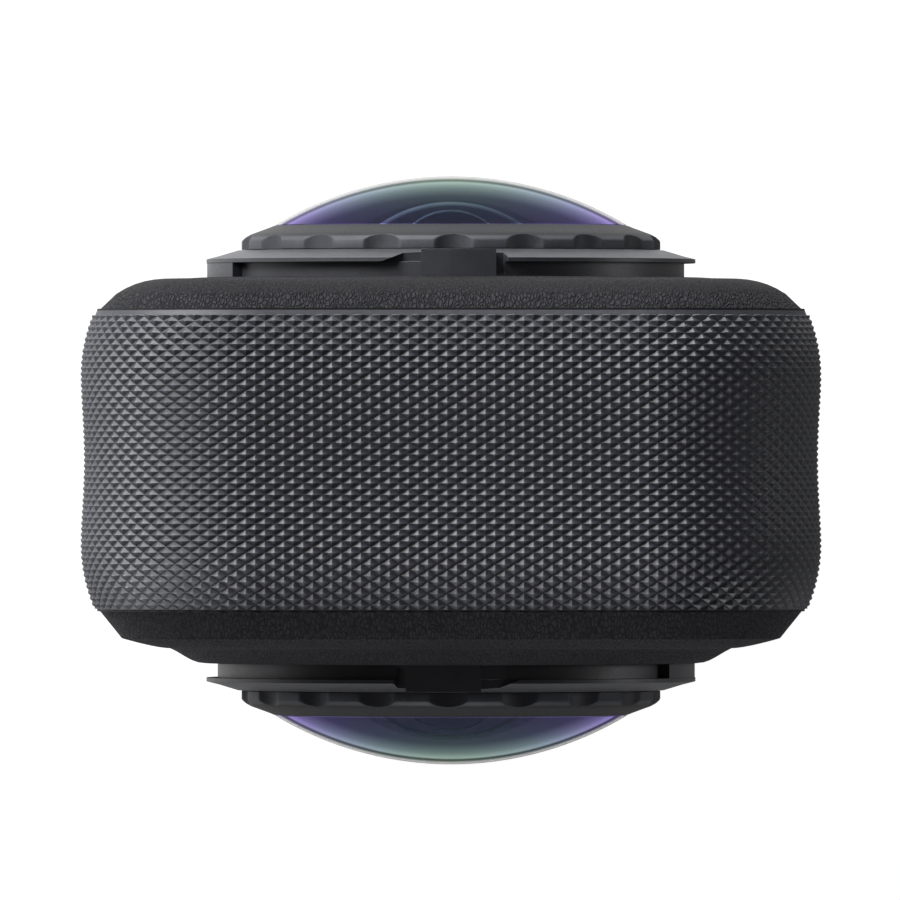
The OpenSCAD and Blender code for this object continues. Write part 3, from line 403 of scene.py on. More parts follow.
# %% Leather grain
GRAIN = 0.36
GRAIN_STRETCH = (1.9, 0.45, 0.9)
WANDER, WANDER_SIZE = 0.5, 1.1
PORE = 0.16
leather, tree, place = blank("polycarbonate_leather_etched")
wander = add(tree, "ShaderNodeTexNoise", {"Vector": place, "Scale": per_mm(WANDER_SIZE), "Detail": 2.0})
known = {}
chain(tree, known, VECTOR, (
    ("shift", "MULTIPLY", wander.outputs["Color"], [WANDER * MM] * 3), ("warped", "ADD", place, "shift")))
warped = add(tree, "ShaderNodeMapping", {"Vector": known["warped"], "Scale": GRAIN_STRETCH})
cells = add(tree, "ShaderNodeTexVoronoi", {"Vector": warped.outputs[0], "Scale": per_mm(GRAIN)},
            feature="DISTANCE_TO_EDGE")
crease = add(tree, "ShaderNodeMapRange", {
    "Value": cells.outputs["Distance"], "From Min": 0.0, "From Max": 0.22}, interpolation_type="SMOOTHSTEP")
pores = add(tree, "ShaderNodeTexNoise", {"Vector": place, "Scale": per_mm(PORE), "Detail": 4.0})
chain(tree, known, MATH, (("relief", "MULTIPLY_ADD", pores.outputs[0], 0.5, crease.outputs[0]),))
etched = add(tree, "ShaderNodeValToRGB", {"Fac": known["relief"]},
             stops=[(0.3, "#1c1c20"), (1.0, "#26262a")])
print("leather cells of", GRAIN, "mm before they are drawn out")

# %% [markdown]
# ## Where the grain is deep
# The grain is deepest on the covers' flanks. Over the rounding that leads to the flat back it nearly fades
# out, and there the colour is painted much darker: painted shade, which dims that rounding. On the front
# cover it is a third as deep. The face's own direction tells these zones apart, so no mask has to be
# painted.

# %% Leather finish
GRAIN_DEPTH = 0.11
facing = add(tree, "ShaderNodeSeparateXYZ", {0: add(tree, "ShaderNodeNewGeometry").outputs["True Normal"]})
for zone, start, end, low, high, ease in (
        ("flank", 0.7, 0.92, 1, 0.22, "SMOOTHSTEP"),
        ("rear", -0.05, 0.05, 0.35, 1, "LINEAR"),
        ("back", 0.985, 0.999, 0, 0.6, "LINEAR")):
    known[zone] = add(tree, "ShaderNodeMapRange", {
        "Value": facing.outputs["Y"], "From Min": start, "From Max": end, "To Min": low, "To Max": high},
        interpolation_type=ease).outputs[0]
chain(tree, known, MATH, (("grain_and_shade", "ADD", "flank", "back"), ("deep", "MULTIPLY", "grain_and_shade", "rear")))
# Painted shade: where the grain fades on the rounding, the colour is mixed towards near black.
tint = add(tree, MIX, {0: known["grain_and_shade"], COLOUR_A: linear("#0b0b0d"), COLOUR_B: etched.outputs[0]},
           data_type="RGBA")
bump = add(tree, "ShaderNodeBump", {
    "Height": known["relief"], "Strength": known["deep"], "Distance": GRAIN_DEPTH * MM})
gloss = add(tree, "ShaderNodeMapRange", {
    "Value": known["relief"], "From Max": 1.4, "To Min": 0.85, "To Max": 0.6})
shader = add(tree, "ShaderNodeBsdfPrincipled", {
    "Base Color": tint.outputs[MIXED], "Roughness": gloss.outputs[0], "Normal": bump.outputs[0],
    "IOR": 1.5, "Specular IOR Level": 0.15})
add(tree, "ShaderNodeOutputMaterial", {"Surface": shader.outputs[0]})
print("made", leather.name)

# %% [markdown]
# ## Knurled nylon
# The grip band is moulded with sharp little diamonds. Handling polishes their tips first, so the mesh
# carries an attribute that runs from 0 in the valleys to 1 at the tips, and the finish grows paler and
# smoother along it.

# %% Knurl finish
TIP = "tip"
FIBRE = 0.3
FIBRE_RELIEF = 0.01
WEAR = 5.0
knurl_nylon, tree, place = blank("nylon_glass_filled_knurled")
up = add(tree, "ShaderNodeAttribute", attribute_name=TIP).outputs["Fac"]
fibre = add(tree, "ShaderNodeTexNoise", {"Vector": place, "Scale": per_mm(FIBRE), "Detail": 3.0}).outputs[0]
known = {}
chain(tree, known, MATH, (("worn", "POWER", up, WEAR), ("worn", "MULTIPLY", "worn", fibre)))
moulded = add(tree, "ShaderNodeValToRGB", {"Fac": fibre}, stops=[(0.3, "#292a31"), (0.7, "#36373f")])
tint = add(tree, MIX, {0: known["worn"], COLOUR_A: moulded.outputs[0], COLOUR_B: linear("#757780")},
           data_type="RGBA")
gloss = add(tree, "ShaderNodeMapRange", {"Value": known["worn"], "To Min": 0.52, "To Max": 0.4})
bump = add(tree, "ShaderNodeBump", {"Height": fibre, "Strength": 0.5, "Distance": FIBRE_RELIEF * MM})
shader = add(tree, "ShaderNodeBsdfPrincipled", {
    "Base Color": tint.outputs[MIXED], "Roughness": gloss.outputs[0], "Normal": bump.outputs[0],
    "IOR": 1.53, "Specular IOR Level": 0.55})
add(tree, "ShaderNodeOutputMaterial", {"Surface": shader.outputs[0]})
print("made", knurl_nylon.name)

# %% [markdown]
# ## Coated domes
# Each dome carries a stack of thin anti-glare films. They are thickest at the middle, so what the glass
# mirrors is green there, slate blue further out and violet at the rim: the colour follows the distance
# from the lens axis. How much is mirrored grows steeply with how edge-on the glass is seen. The rest goes
# straight through, because bent rays would leave a small lens grainy. What bending does in a real dome,
# which is to show the black barrel wherever one looks in at a slant, is given by a stain instead: clear
# where the wall is seen square on, deep at a slant, and pale again near the outline, where the tint fades
# and the ground edge draws a hairline. The films are on the outer face only, so the mesh carries an
# attribute that is 1 there and 0 in the hollow.

# %% Coated glass
DOME_R = 11
FILM = "film"
coated, tree, place = blank("optical_glass_multicoated")
centred = add(tree, "ShaderNodeMapping", {"Vector": place, "Location": (0, 0, -LENS_Z * MM)}).outputs[0]
known = {}
chain(tree, known, VECTOR, (("flat", "MULTIPLY", centred, (1, 0, 1)), ("radius", "LENGTH", "flat")))
reach = add(tree, "ShaderNodeMapRange", {"Value": known["radius"], "From Max": DOME_R * MM})
tint = add(tree, "ShaderNodeValToRGB", {"Fac": reach.outputs[0]},
           stops=[(0.0, "#def6d4"), (0.4, "#d2e2dc"), (0.7, "#cfd8e6"), (1.0, "#d2c4f6")])
edge = add(tree, "ShaderNodeLayerWeight", {"Blend": 0.5}).outputs["Facing"]
rim = add(tree, "ShaderNodeMapRange", {"Value": edge, "From Min": 0.85, "From Max": 0.9},
          interpolation_type="SMOOTHSTEP")
tint = add(tree, MIX, {0: rim.outputs[0], COLOUR_A: tint.outputs[0], COLOUR_B: linear("#ffffff")},
           data_type="RGBA")
depth = add(tree, "ShaderNodeValToRGB", {"Fac": edge}, stops=[
    (0.0, "#dcdce0"), (0.35, "#d0d0d6"), (0.47, "#94a286"), (0.56, "#939b92"), (0.66, "#9a9f9e"),
    (0.75, "#ccd0cc"), (0.8, "#f0f0f0"), (0.815, "#f0f0f0"), (0.841, "#7c7c7c"), (0.875, "#d8d8d8"),
    (0.92, "#ffffff"), (1.0, "#ffffff")])
stain = add(tree, MIX, {0: 1.0, COLOUR_A: tint.outputs[MIXED], COLOUR_B: depth.outputs[0]},
            data_type="RGBA", blend_type="MULTIPLY")
filmed = add(tree, "ShaderNodeAttribute", attribute_name=FILM).outputs["Fac"]
stain = add(tree, MIX, {0: filmed, COLOUR_A: linear("#f4f4f6"), COLOUR_B: stain.outputs[MIXED]},
            data_type="RGBA")
mirror = add(tree, "ShaderNodeBsdfGlossy", {"Color": tint.outputs[MIXED], "Roughness": 0.02})
through = add(tree, "ShaderNodeBsdfTransparent", {"Color": stain.outputs[MIXED]})
slant = add(tree, "ShaderNodeMapRange", {"Value": edge, "From Min": 0.45, "To Max": 0.96})
chain(tree, known, MATH, (
    ("share", "POWER", slant.outputs[0], 4.0), ("share", "MULTIPLY", "share", filmed)))
coat = add(tree, "ShaderNodeMixShader", {0: known["share"], 1: through.outputs[0], 2: mirror.outputs[0]})
add(tree, "ShaderNodeOutputMaterial", {"Surface": coat.outputs[0]})
print("the dome's film runs over", DOME_R, "mm")

# %% [markdown]
# ## Glass inside
# Under each dome lie two more elements. The lower one is backed by the black barrel, so a deep blue black
# with a polished gloss is enough. The upper one is clear to look through, and where it turns edge-on it is
# pale and matt: a painted reflection, lit by the lamps, which draws the arcs that one sees in a wide lens.

# %% Inner elements
RIPPLE, RIM_MOTTLE = 4, 2.5
inner_glass, tree, place = blank("optical_glass_polished")
ripple = add(tree, "ShaderNodeTexNoise", {"Vector": place, "Scale": per_mm(RIPPLE), "Detail": 1.0})
gloss = add(tree, "ShaderNodeMapRange", {"Value": ripple.outputs[0], "To Min": 0.06, "To Max": 0.1})
shader = add(tree, "ShaderNodeBsdfPrincipled", {
    "Base Color": linear("#10131f"), "Roughness": gloss.outputs[0], "IOR": 1.7})
add(tree, "ShaderNodeOutputMaterial", {"Surface": shader.outputs[0]})

glass_painted_edge_reflection, tree, place = blank("optical_glass_painted_edge_reflection")
rim_mottle = add(tree, "ShaderNodeTexNoise", {"Vector": place, "Scale": per_mm(RIM_MOTTLE), "Detail": 2.0})
tint = add(tree, "ShaderNodeValToRGB", {"Fac": rim_mottle.outputs[0]},
           stops=[(0.35, "#d0d6ea"), (0.65, "#f0f2fa")])
edge = add(tree, "ShaderNodeLayerWeight", {"Blend": 0.5}).outputs["Facing"]
# Painted reflection: a pale matt share grows where the element is seen edge-on, its tint mottled a little.
share = add(tree, "ShaderNodeMapRange", {"Value": edge, "From Min": 0.7, "From Max": 0.88, "To Max": 0.95},
            interpolation_type="SMOOTHSTEP")
pale = add(tree, "ShaderNodeBsdfDiffuse", {"Color": tint.outputs[0]})
through = add(tree, "ShaderNodeBsdfTransparent", {"Color": linear("#f6f6fa")})
coat = add(tree, "ShaderNodeMixShader", {0: share.outputs[0], 1: through.outputs[0], 2: pale.outputs[0]})
add(tree, "ShaderNodeOutputMaterial", {"Surface": coat.outputs[0]})
print("made", inner_glass.name, "and", glass_painted_edge_reflection.name)

# %% [markdown]
# ## Display glass
# A switched-off display is black glass. The picture area under it is a shade bluer than the printed
# border, which shows only where something bright is mirrored. A rectangle in object coordinates, a little
# inside the panel's own outline, draws that border.

# %% Screen glass
BORDER_X, BORDER_Z = 0.3, 0.6
SMEAR = 14
panel_middle, panel_half = measure("display_panel")
screen, tree, place = blank("aluminosilicate_glass_printed_back")
known = dict(add(tree, "ShaderNodeSeparateXYZ", {0: place}).outputs.items())
chain(tree, known, MATH, (
    ("across", "ABSOLUTE", "X"), ("across", "LESS_THAN", "across", (panel_half[0] - BORDER_X) * MM),
    ("along", "SUBTRACT", "Z", panel_middle[2] * MM), ("along", "ABSOLUTE", "along"),
    ("along", "LESS_THAN", "along", (panel_half[2] - BORDER_Z) * MM),
    ("picture", "MULTIPLY", "across", "along")))
tint = add(tree, "ShaderNodeValToRGB", {"Fac": known["picture"]},
           stops=[(0.0, "#050506"), (1.0, "#0c0d12")])
smear = add(tree, "ShaderNodeTexNoise", {"Vector": place, "Scale": per_mm(SMEAR), "Detail": 3.0})
gloss = add(tree, "ShaderNodeMapRange", {"Value": smear.outputs[0], "To Min": 0.03, "To Max": 0.11})
shader = add(tree, "ShaderNodeBsdfPrincipled", {
    "Base Color": tint.outputs[0], "Roughness": gloss.outputs[0], "IOR": 1.51})
add(tree, "ShaderNodeOutputMaterial", {"Surface": shader.outputs[0]})
print("made", screen.name)

# %% [markdown]
# ## Dress every CAD node
# The record says which material slot each node uses, so one table from slot to finish covers them all.
# Most nodes that get a finer mesh later keep this finish too; the scalloped rings get their own.

# %% Finishes by slot
FINISH = {
    "knurled_plastic": knurl_nylon, "cover_plastic": leather, "lens_metal": blasted,
    "coated_glass": coated, "inner_glass": inner_glass, "black_plastic": satin_plastic,
    "button_plastic": key_plastic, "screen_glass": screen, "screen_panel": dark_panel,
    "rubber": rubber, "steel": steel, "cast_aluminium": cast, "circuit_board": board_mask,
    "contact_brass": gilded, "battery_wrap": shrink_film, "card_plastic": card_resin,
    "light_pipe": frosted}
slot_of = {row["node"]: row["material_slot"] for row in frame["record"]["subparts"]}
for name, slot in slot_of.items():
    nodes[name].data.materials.clear()
    nodes[name].data.materials.append(FINISH[slot])
print(len(slot_of), "nodes dressed")

# %% [markdown]
# ## Pieces
# A finished piece sits at the origin with its place in its mesh, rides on a body and may stand for a CAD
# node. Modifiers are turned into plain mesh first.

# %% Piece tools
def settle(obj):
    """Turns an object's modifiers into plain mesh."""
    mesh = bpy.data.meshes.new_from_object(obj.evaluated_get(bpy.context.evaluated_depsgraph_get()))
    obj.modifiers.clear()
    obj.data = mesh
    return obj


def show(name, mesh):
    """Object of a mesh, put in the scene."""
    obj = bpy.data.objects.new(name, mesh)
    scene.collection.objects.link(obj)
    return obj


def seat(obj, body, slot, stands_for=(), finish=None):
    """Gives a plain mesh its finish, the slot's one unless another is given, the body it rides on and the
    nodes that it stands for.
    """
    obj.data.materials.clear()
    obj.data.materials.append(finish or FINISH[slot])
    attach(obj, body)
    if stands_for:
        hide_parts(*stands_for)
    print(obj.name, len(obj.data.polygons), "faces, on", body)
    return obj


def put(mesh, body, slot, place=Matrix(), stands_for=(), finish=None):
    """Shows a mesh as a piece at its place."""
    mesh.transform(place)
    return seat(show(mesh.name, mesh), body, slot, stands_for, finish)


print(len(nodes), "CAD nodes can be stood for")

# %% [markdown]
# ## Soft edges on machined and moulded pieces
# No real edge is a knife edge: moulds and deburring leave a radius of a tenth of a millimetre or so, and
# it is this radius that catches the light. A copy of the CAD mesh is merged, its flat facets are joined,
# its sharp edges get a small bevel, and weighted normals keep flat faces flat beside the rounded ones.

# %% Soft-edged copies
SHARP = math.radians(32)
FLAT = math.radians(0.4)
MERGE = 0.0005


def smooth_faces(body):
    """Shades faces smoothly, with a break at each sharp edge."""
    for line in body.edges:
        line.smooth = line.calc_face_angle(0) < SHARP
    for face in body.faces:
        face.smooth = True


def soft_copy(node, edge, segments=2):
    """Copy of a CAD node's mesh with a bevel of edge mm."""
    mesh = nodes[node].data.copy()
    mesh.name = node + "_soft"
    body = bmesh.new()
    body.from_mesh(mesh)
    bmesh.ops.remove_doubles(body, verts=body.verts, dist=MERGE * MM)
    bmesh.ops.dissolve_limit(body, angle_limit=FLAT, verts=body.verts, edges=body.edges)
    smooth_faces(body)
    body.to_mesh(mesh)
    body.free()
    obj = show(mesh.name, mesh)
    if edge:
        bevel = obj.modifiers.new("edge", "BEVEL")
        bevel.width = edge * MM
        bevel.segments = segments
        bevel.limit_method = "ANGLE"
        bevel.angle_limit = SHARP
        bevel.use_clamp_overlap = True
    weigh = obj.modifiers.new("flat", "WEIGHTED_NORMAL")
    weigh.keep_sharp = True
    settle(obj)
    return seat(obj, nodes[node]["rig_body"], slot_of[node], [node])


for node, edge in (
        ("rear_cover", 0.0), ("front_cover", 0.0), ("rear_lens_collar", 0.06), ("front_lens_collar", 0.06),
        ("display_glass", 0.22), ("shutter_button", 0.3), ("lens_button", 0.3), ("power_button", 0.25),
        ("mode_button", 0.25), ("battery_cap", 0.12), ("port_door", 0.12), ("upper_latch", 0.1),
        ("lower_latch", 0.1), ("base_plate", 0.2), ("base_screws", 0.06), ("charge_port", 0.05),
        ("battery_pack", 0.3)):
    soft_copy(node, edge)

# %% [markdown]
# ## Node trees that make mesh
# A geometry node tree is a recipe with named inputs, so one tree serves several pieces. Each tree here
# starts with its inputs, and ends with Realize Instances, which makes real mesh of light copies, and Set
# Material. An object runs the tree as a modifier. The modifier's inputs are set by their identifiers,
# because two inputs may share a name, and the plain mesh is kept.

# %% Start, end and run of a tree
def open_tree(name, inputs):
    """An empty tree with inputs of some types, their identifiers, and the sockets of their values."""
    tree = bpy.data.node_groups.new(name, "GeometryNodeTree")
    tree.interface.new_socket("Geometry", in_out="OUTPUT", socket_type="NodeSocketGeometry")
    identifiers = {}
    for kind, labels in inputs.items():
        for label in labels:
            socket = tree.interface.new_socket(label, in_out="INPUT", socket_type="NodeSocket" + kind)
            identifiers[label] = socket.identifier
    return tree, identifiers, dict(add(tree, "NodeGroupInput").outputs.items())


def close_tree(tree, geometry, finish):
    """Ends a tree in real mesh with a finish."""
    real = add(tree, "GeometryNodeRealizeInstances", {"Geometry": geometry})
    done = add(tree, "GeometryNodeSetMaterial", {"Geometry": real.outputs[0], "Material": finish})
    add(tree, "NodeGroupOutput", {0: done.outputs[0]})
    print(tree.name, "has", len(tree.nodes), "nodes")


def run_tree(obj, tree, identifiers, values):
    """Runs a tree on an object with values for its inputs, and keeps the plain mesh."""
    maker = obj.modifiers.new(tree.name, "NODES")
    maker.node_group = tree
    for label, value in values.items():
        maker[identifiers[label]] = value
    return settle(obj)


# %% [markdown]
# ## The knurl's lattice
# The grip band carries low four-sided pyramids in a diamond lattice. Each is 1.18 mm long, along the band,
# and 0.7 mm wide. Modelling one and copying it by hand thousands of times would be hopeless, and a bump
# texture would vanish at the outline, so Geometry Nodes lay the lattice. A point's number gives its row
# and column. Columns run along a rounded rectangle, rows run from front to back, and every second row is
# shifted by half a pitch.

# %% Points along the outline
KNURL_INPUTS = {
    "Float": ("Width", "Height", "Corner", "Along", "Across", "First", "Middle", "Half", "Bulge", "Waist",
              "Drop", "Depth", "Tooth", "Sink"),
    "Int": ("Columns", "Rows"), "Vector": ("Keep Centre", "Keep Half"), "Material": ("Finish",)}
CORNER_POINTS = 48


def lay_points(tree, known):
    """Finds each point's depth in the band, and its place and direction on the outline."""
    known["index"] = add(tree, "GeometryNodeInputIndex").outputs[0]
    chain(tree, known, MATH, (
        ("row", "ADD", "index", 0.5), ("row", "DIVIDE", "row", "Columns"), ("row", "FLOOR", "row"),
        ("before", "MULTIPLY", "row", "Columns"), ("column", "SUBTRACT", "index", "before"),
        ("stagger", "MODULO", "row", 2.0), ("stagger", "MULTIPLY", "stagger", 0.5),
        ("length", "ADD", "column", "stagger"), ("length", "MULTIPLY", "length", "Along"),
        ("row_y", "MULTIPLY", "row", "Across"), ("row_y", "ADD", "First", "row_y"),
        ("lift", "MULTIPLY", "Height", 0.5)))
    loop = add(tree, "GeometryNodeCurvePrimitiveQuadrilateral", {
        "Width": known["Width"], "Height": known["Height"]})
    loop = add(tree, "GeometryNodeFilletCurve", {
        "Curve": loop.outputs[0], "Count": CORNER_POINTS, "Radius": known["Corner"]}, mode="POLY")
    lift = add(tree, "ShaderNodeCombineXYZ", {"Z": known["lift"]})
    loop = add(tree, "GeometryNodeTransform", {
        "Geometry": loop.outputs[0], "Translation": lift.outputs[0], "Rotation": (math.pi / 2, 0, 0)})
    walk = add(tree, "GeometryNodeSampleCurve", {"Curves": loop.outputs[0], "Length": known["length"]},
               mode="LENGTH")
    known.update((socket.name, socket) for socket in walk.outputs if socket.enabled)


print("inputs of the knurl:", sum(len(labels) for labels in KNURL_INPUTS.values()))

# %% [markdown]
# ## The band's section
# Across its depth the band isn't flat. It has a shallow waist in the middle and falls away in a curve
# towards both seams. Both follow a power of the distance from the middle, as in the CAD source. Their
# slopes are worked out too, so that each pyramid stands square on the curve.

# %% Points on the section
def follow_section(tree, known):
    """Finds each point's spot on the band and the direction that is upright there."""
    chain(tree, known, MATH, (
        ("share", "SUBTRACT", "row_y", "Middle"), ("share", "DIVIDE", "share", "Half"),
        ("size", "ABSOLUTE", "share"), ("side", "SIGN", "share"),
        # The waist's dip goes from 1 in the middle to 0 at the bulge.
        ("dip", "DIVIDE", "size", "Bulge"), ("dip", "POWER", "dip", 2.0),
        ("dip", "SUBTRACT", 1.0, "dip"), ("dip", "MAXIMUM", "dip", 0.0),
        # The fall goes from 0 at the bulge to 1 at the seam.
        ("past", "SUBTRACT", 1.0, "Bulge"), ("fall", "SUBTRACT", "size", "Bulge"),
        ("fall", "DIVIDE", "fall", "past"), ("fall", "MAXIMUM", "fall", 0.0),
        # The square of each, times its size, is how far the point lies below the outline.
        ("dipped", "POWER", "dip", 2.0), ("dipped", "MULTIPLY", "Waist", "dipped"),
        ("fallen", "POWER", "fall", 2.0), ("fallen", "MULTIPLY", "Drop", "fallen"),
        ("sunk", "ADD", "dipped", "fallen"), ("sunk", "ADD", "sunk", "Depth"),
        ("sunk", "MULTIPLY", "sunk", -1.0),
        # The slope is the derivative of those two squares.
        ("inner", "MULTIPLY", "dip", "size"), ("bend", "POWER", "Bulge", 2.0),
        ("inner", "DIVIDE", "inner", "bend"), ("bend", "MULTIPLY", "Waist", -4.0),
        ("inner", "MULTIPLY", "bend", "inner"),
        ("outer", "DIVIDE", "fall", "past"), ("bend", "MULTIPLY", "Drop", 2.0),
        ("outer", "MULTIPLY", "bend", "outer"),
        ("slope", "ADD", "inner", "outer"), ("slope", "MULTIPLY", "slope", "side"),
        ("slope", "DIVIDE", "slope", "Half")))
    known["lean"] = add(tree, "ShaderNodeCombineXYZ", {"Y": known["slope"]}).outputs[0]
    known["back"] = add(tree, "ShaderNodeCombineXYZ", {"Y": known["row_y"]}).outputs[0]
    chain(tree, known, VECTOR, (
        ("outward", "CROSS_PRODUCT", (0, 1, 0), "Tangent"), ("outward", "NORMALIZE", "outward"),
        ("upright", "ADD", "outward", "lean"), ("upright", "NORMALIZE", "upright"),
        ("inward", "MULTIPLY", "outward", "sunk"), ("spot", "ADD", "Position", "back"),
        ("spot", "ADD", "spot", "inward")))


# %% [markdown]
# ## Windows and pyramids
# Points in windows, doors and keys are left out: a point is kept if it lies in one box and in none of the
# windows. Every kept point then carries a copy of one low pyramid with a blunt tip, whose foot is sunk a
# little so that no gap shows.

# %% Kept points and the pyramid
BLUNT = 0.1


def keep_points(tree, known, windows):
    """Finds 1 for a point in the kept box and in no window, and less for all others."""
    known["kept"] = 0.0
    boxes = [("ADD", known["Keep Centre"], known["Keep Half"])]
    boxes += [("SUBTRACT", Vector(centre) * MM, Vector(half) * MM) for centre, half in windows]
    for operation, centre, half in boxes:
        chain(tree, known, VECTOR, (
            ("off", "SUBTRACT", "spot", centre), ("off", "ABSOLUTE", "off"),
            ("off", "SUBTRACT", "off", half)))
        known.update(add(tree, "ShaderNodeSeparateXYZ", {0: known["off"]}).outputs.items())
        chain(tree, known, MATH, (
            ("far", "MAXIMUM", "X", "Y"), ("far", "MAXIMUM", "far", "Z"),
            ("inside", "LESS_THAN", "far", 0.0), ("kept", operation, "kept", "inside")))


def pyramid(tree, known):
    """Socket of one pyramid, which carries the attribute that runs up to its tip."""
    cone = add(tree, "GeometryNodeMeshCone", {
        "Vertices": 4, "Radius Top": BLUNT, "Radius Bottom": 1.0, "Depth": 1.0})
    height = add(tree, "ShaderNodeSeparateXYZ", {0: add(tree, "GeometryNodeInputPosition").outputs[0]})
    cone = add(tree, "GeometryNodeStoreNamedAttribute", {
        "Geometry": cone.outputs["Mesh"], "Name": TIP, "Value": height.outputs["Z"]},
        data_type="FLOAT", domain="POINT")
    chain(tree, known, MATH, (
        ("long", "MULTIPLY", "Along", 0.5), ("tall", "ADD", "Tooth", "Sink"),
        ("down", "MULTIPLY", "Sink", -1.0)))
    scale = add(tree, "ShaderNodeCombineXYZ", {
        "X": known["long"], "Y": known["Across"], "Z": known["tall"]})
    down = add(tree, "ShaderNodeCombineXYZ", {"Z": known["down"]})
    return add(tree, "GeometryNodeTransform", {
        "Geometry": cone.outputs[0], "Translation": down.outputs[0], "Scale": scale.outputs[0]}).outputs[0]


def knurl_tree(name, windows):
    """Node tree that lays pyramids on the lattice, and the identifiers of its inputs."""
    tree, identifiers, known = open_tree(name, KNURL_INPUTS)
    lay_points(tree, known)
    follow_section(tree, known)
    keep_points(tree, known, windows)
    chain(tree, known, MATH, (
        ("count", "MULTIPLY", "Columns", "Rows"), ("kept", "GREATER_THAN", "kept", 0.5)))
    points = add(tree, "GeometryNodePoints", {"Count": known["count"], "Position": known["spot"]})
    turn = add(tree, "FunctionNodeAxesToRotation", {
        "Primary Axis": known["upright"], "Secondary Axis": known["Tangent"]},
        primary_axis="Z", secondary_axis="X")
    laid = add(tree, "GeometryNodeInstanceOnPoints", {
        "Points": points.outputs[0], "Selection": known["kept"], "Instance": pyramid(tree, known),
        "Rotation": turn.outputs[0]})
    close_tree(tree, laid.outputs[0], known["Finish"])
    return tree, identifiers


# %% [markdown]
# ## Band, battery cap and port door
# The lattice runs right across the doors, as it does when a moulding tool is textured in one go. Doors
# are flat, so they use the same tree with no waist and no fall, kept to their own faces. Where a patch of
# knurl stops is read off the box of the door or key, with some room round it.

# %% Sizes of the knurl
REAR_SEAM, FRONT_SEAM = 9.9, 8.6
PITCH_ALONG, PITCH_ACROSS = 1.18, 0.7
KNURL, TOOTH, SINK = 0.2, 0.17, 0.04
WAIST, DROP, BULGE = 0.2, 0.85, 0.57
loop = 2 * (BODY_W + BODY_H) - 8 * CORNER + 2 * math.pi * CORNER
columns = round(loop / PITCH_ALONG)
usable = REAR_SEAM + FRONT_SEAM
rows = 2 * round(usable / PITCH_ACROSS) + 1
MIDDLE = (REAR_SEAM - FRONT_SEAM) / 2
KNURL_SIZES = {
    "Width": BODY_W, "Height": BODY_H, "Corner": CORNER,
    "Along": loop / columns, "Across": usable / (rows - 1),
    "First": MIDDLE - usable / 2, "Middle": MIDDLE, "Half": usable / 2,
    "Depth": KNURL, "Tooth": TOOTH, "Sink": SINK}
print(columns, "columns and", rows, "rows")

# %% Patches of the knurl
LEFT, RIGHT = -BODY_W / 2, BODY_W / 2
WINDOW_REACH, DOOR_REACH = 2, 1
MIC_Y, MIC_Z = 0.95, 1.1
PAST_BODY = (30, 15, 70)
BASE_ROOM_X, BASE_ROOM_Y = 0.7, 0.45


def patch(node, x, room, shift=(0, 0), reach=WINDOW_REACH):
    """Centre and half size of a box on one side: a CAD node's outline, with room round it, shifted."""
    (_, y, z), (_, half_y, half_z) = measure(node)
    return (x, y + shift[0], z + shift[1]), (reach, half_y + room[0], half_z + room[1])


base_x, base_y, _ = measure("base_plate")[1]
band_windows = [
    patch("battery_cap", LEFT, room=(0.7, 0.9)), patch("port_door", LEFT, room=(0.75, 0.9)),
    patch("power_button", RIGHT, room=(0, 0.45)), patch("mode_button", RIGHT, room=(0, 0.45)),
    ((RIGHT, MIDDLE, LENS_Z), (WINDOW_REACH, MIC_Y, MIC_Z)),
    ((0, 0, 0), (base_x + BASE_ROOM_X, base_y + BASE_ROOM_Y, WINDOW_REACH))]
# The latches slide towards each other, so their windows reach further that way.
cap_windows = [patch("lower_latch", LEFT, room=(0.6, 1.35), shift=(0, 1.3)),
               patch("upper_latch", LEFT, room=(0.6, 1.35), shift=(0, -1.3))]
# The door has a nail slot at its front edge.
door_windows = [patch("port_door", LEFT, room=(-2.9, -3.1), shift=(-4.1, 0))]
band_kept = (0, 0, BODY_H / 2), PAST_BODY
cap_kept = patch("battery_cap", LEFT, room=(-0.7, -0.9), reach=DOOR_REACH)
# The door's knurl keeps away from the hinge at its rear edge, where it would meet the band in opening.
door_kept = patch("port_door", LEFT, room=(-1.25, -0.9), shift=(-0.85, 0), reach=DOOR_REACH)
print(len(band_windows), "windows in the band's knurl")

# %% Lay the knurl
REAR_RIM, FRONT_RIM = 0.28, 0.04
ON_CUT = 0.00001


def lay_knurl(name, windows, kept, body, curved):
    """Pyramids on the points inside one box, cut off square at both seams."""
    tree, identifiers = knurl_tree(name + "_lattice", windows)
    sizes = {**KNURL_SIZES, "Waist": WAIST * curved, "Drop": DROP * curved}
    values = {label: value * MM for label, value in sizes.items()}
    values.update({"Bulge": BULGE, "Columns": columns, "Rows": rows, "Finish": knurl_nylon})
    for label, corner in zip(("Keep Centre", "Keep Half"), kept):
        values[label] = [v * MM for v in corner]
    obj = run_tree(show(name, bpy.data.meshes.new(name)), tree, identifiers, values)
    cut = bmesh.new()
    cut.from_mesh(obj.data)
    for y, way in ((REAR_SEAM - REAR_RIM, 1), (FRONT_RIM - FRONT_SEAM, -1)):
        bmesh.ops.bisect_plane(cut, geom=cut.verts[:] + cut.edges[:] + cut.faces[:], dist=ON_CUT * MM,
                               plane_co=(0, y * MM, 0), plane_no=(0, way, 0), clear_outer=True)
        bmesh.ops.holes_fill(cut, edges=[line for line in cut.edges if line.is_boundary], sides=8)
    for face in cut.faces:
        face.smooth = False
    cut.to_mesh(obj.data)
    cut.free()
    return seat(obj, body, "knurled_plastic")


lay_knurl("band_knurl", band_windows, band_kept, "camera_body", curved=1.0)
lay_knurl("battery_cap_knurl", cap_windows, cap_kept, "battery", curved=0.0)
lay_knurl("port_door_knurl", door_windows, door_kept, "port_door", curved=0.0)
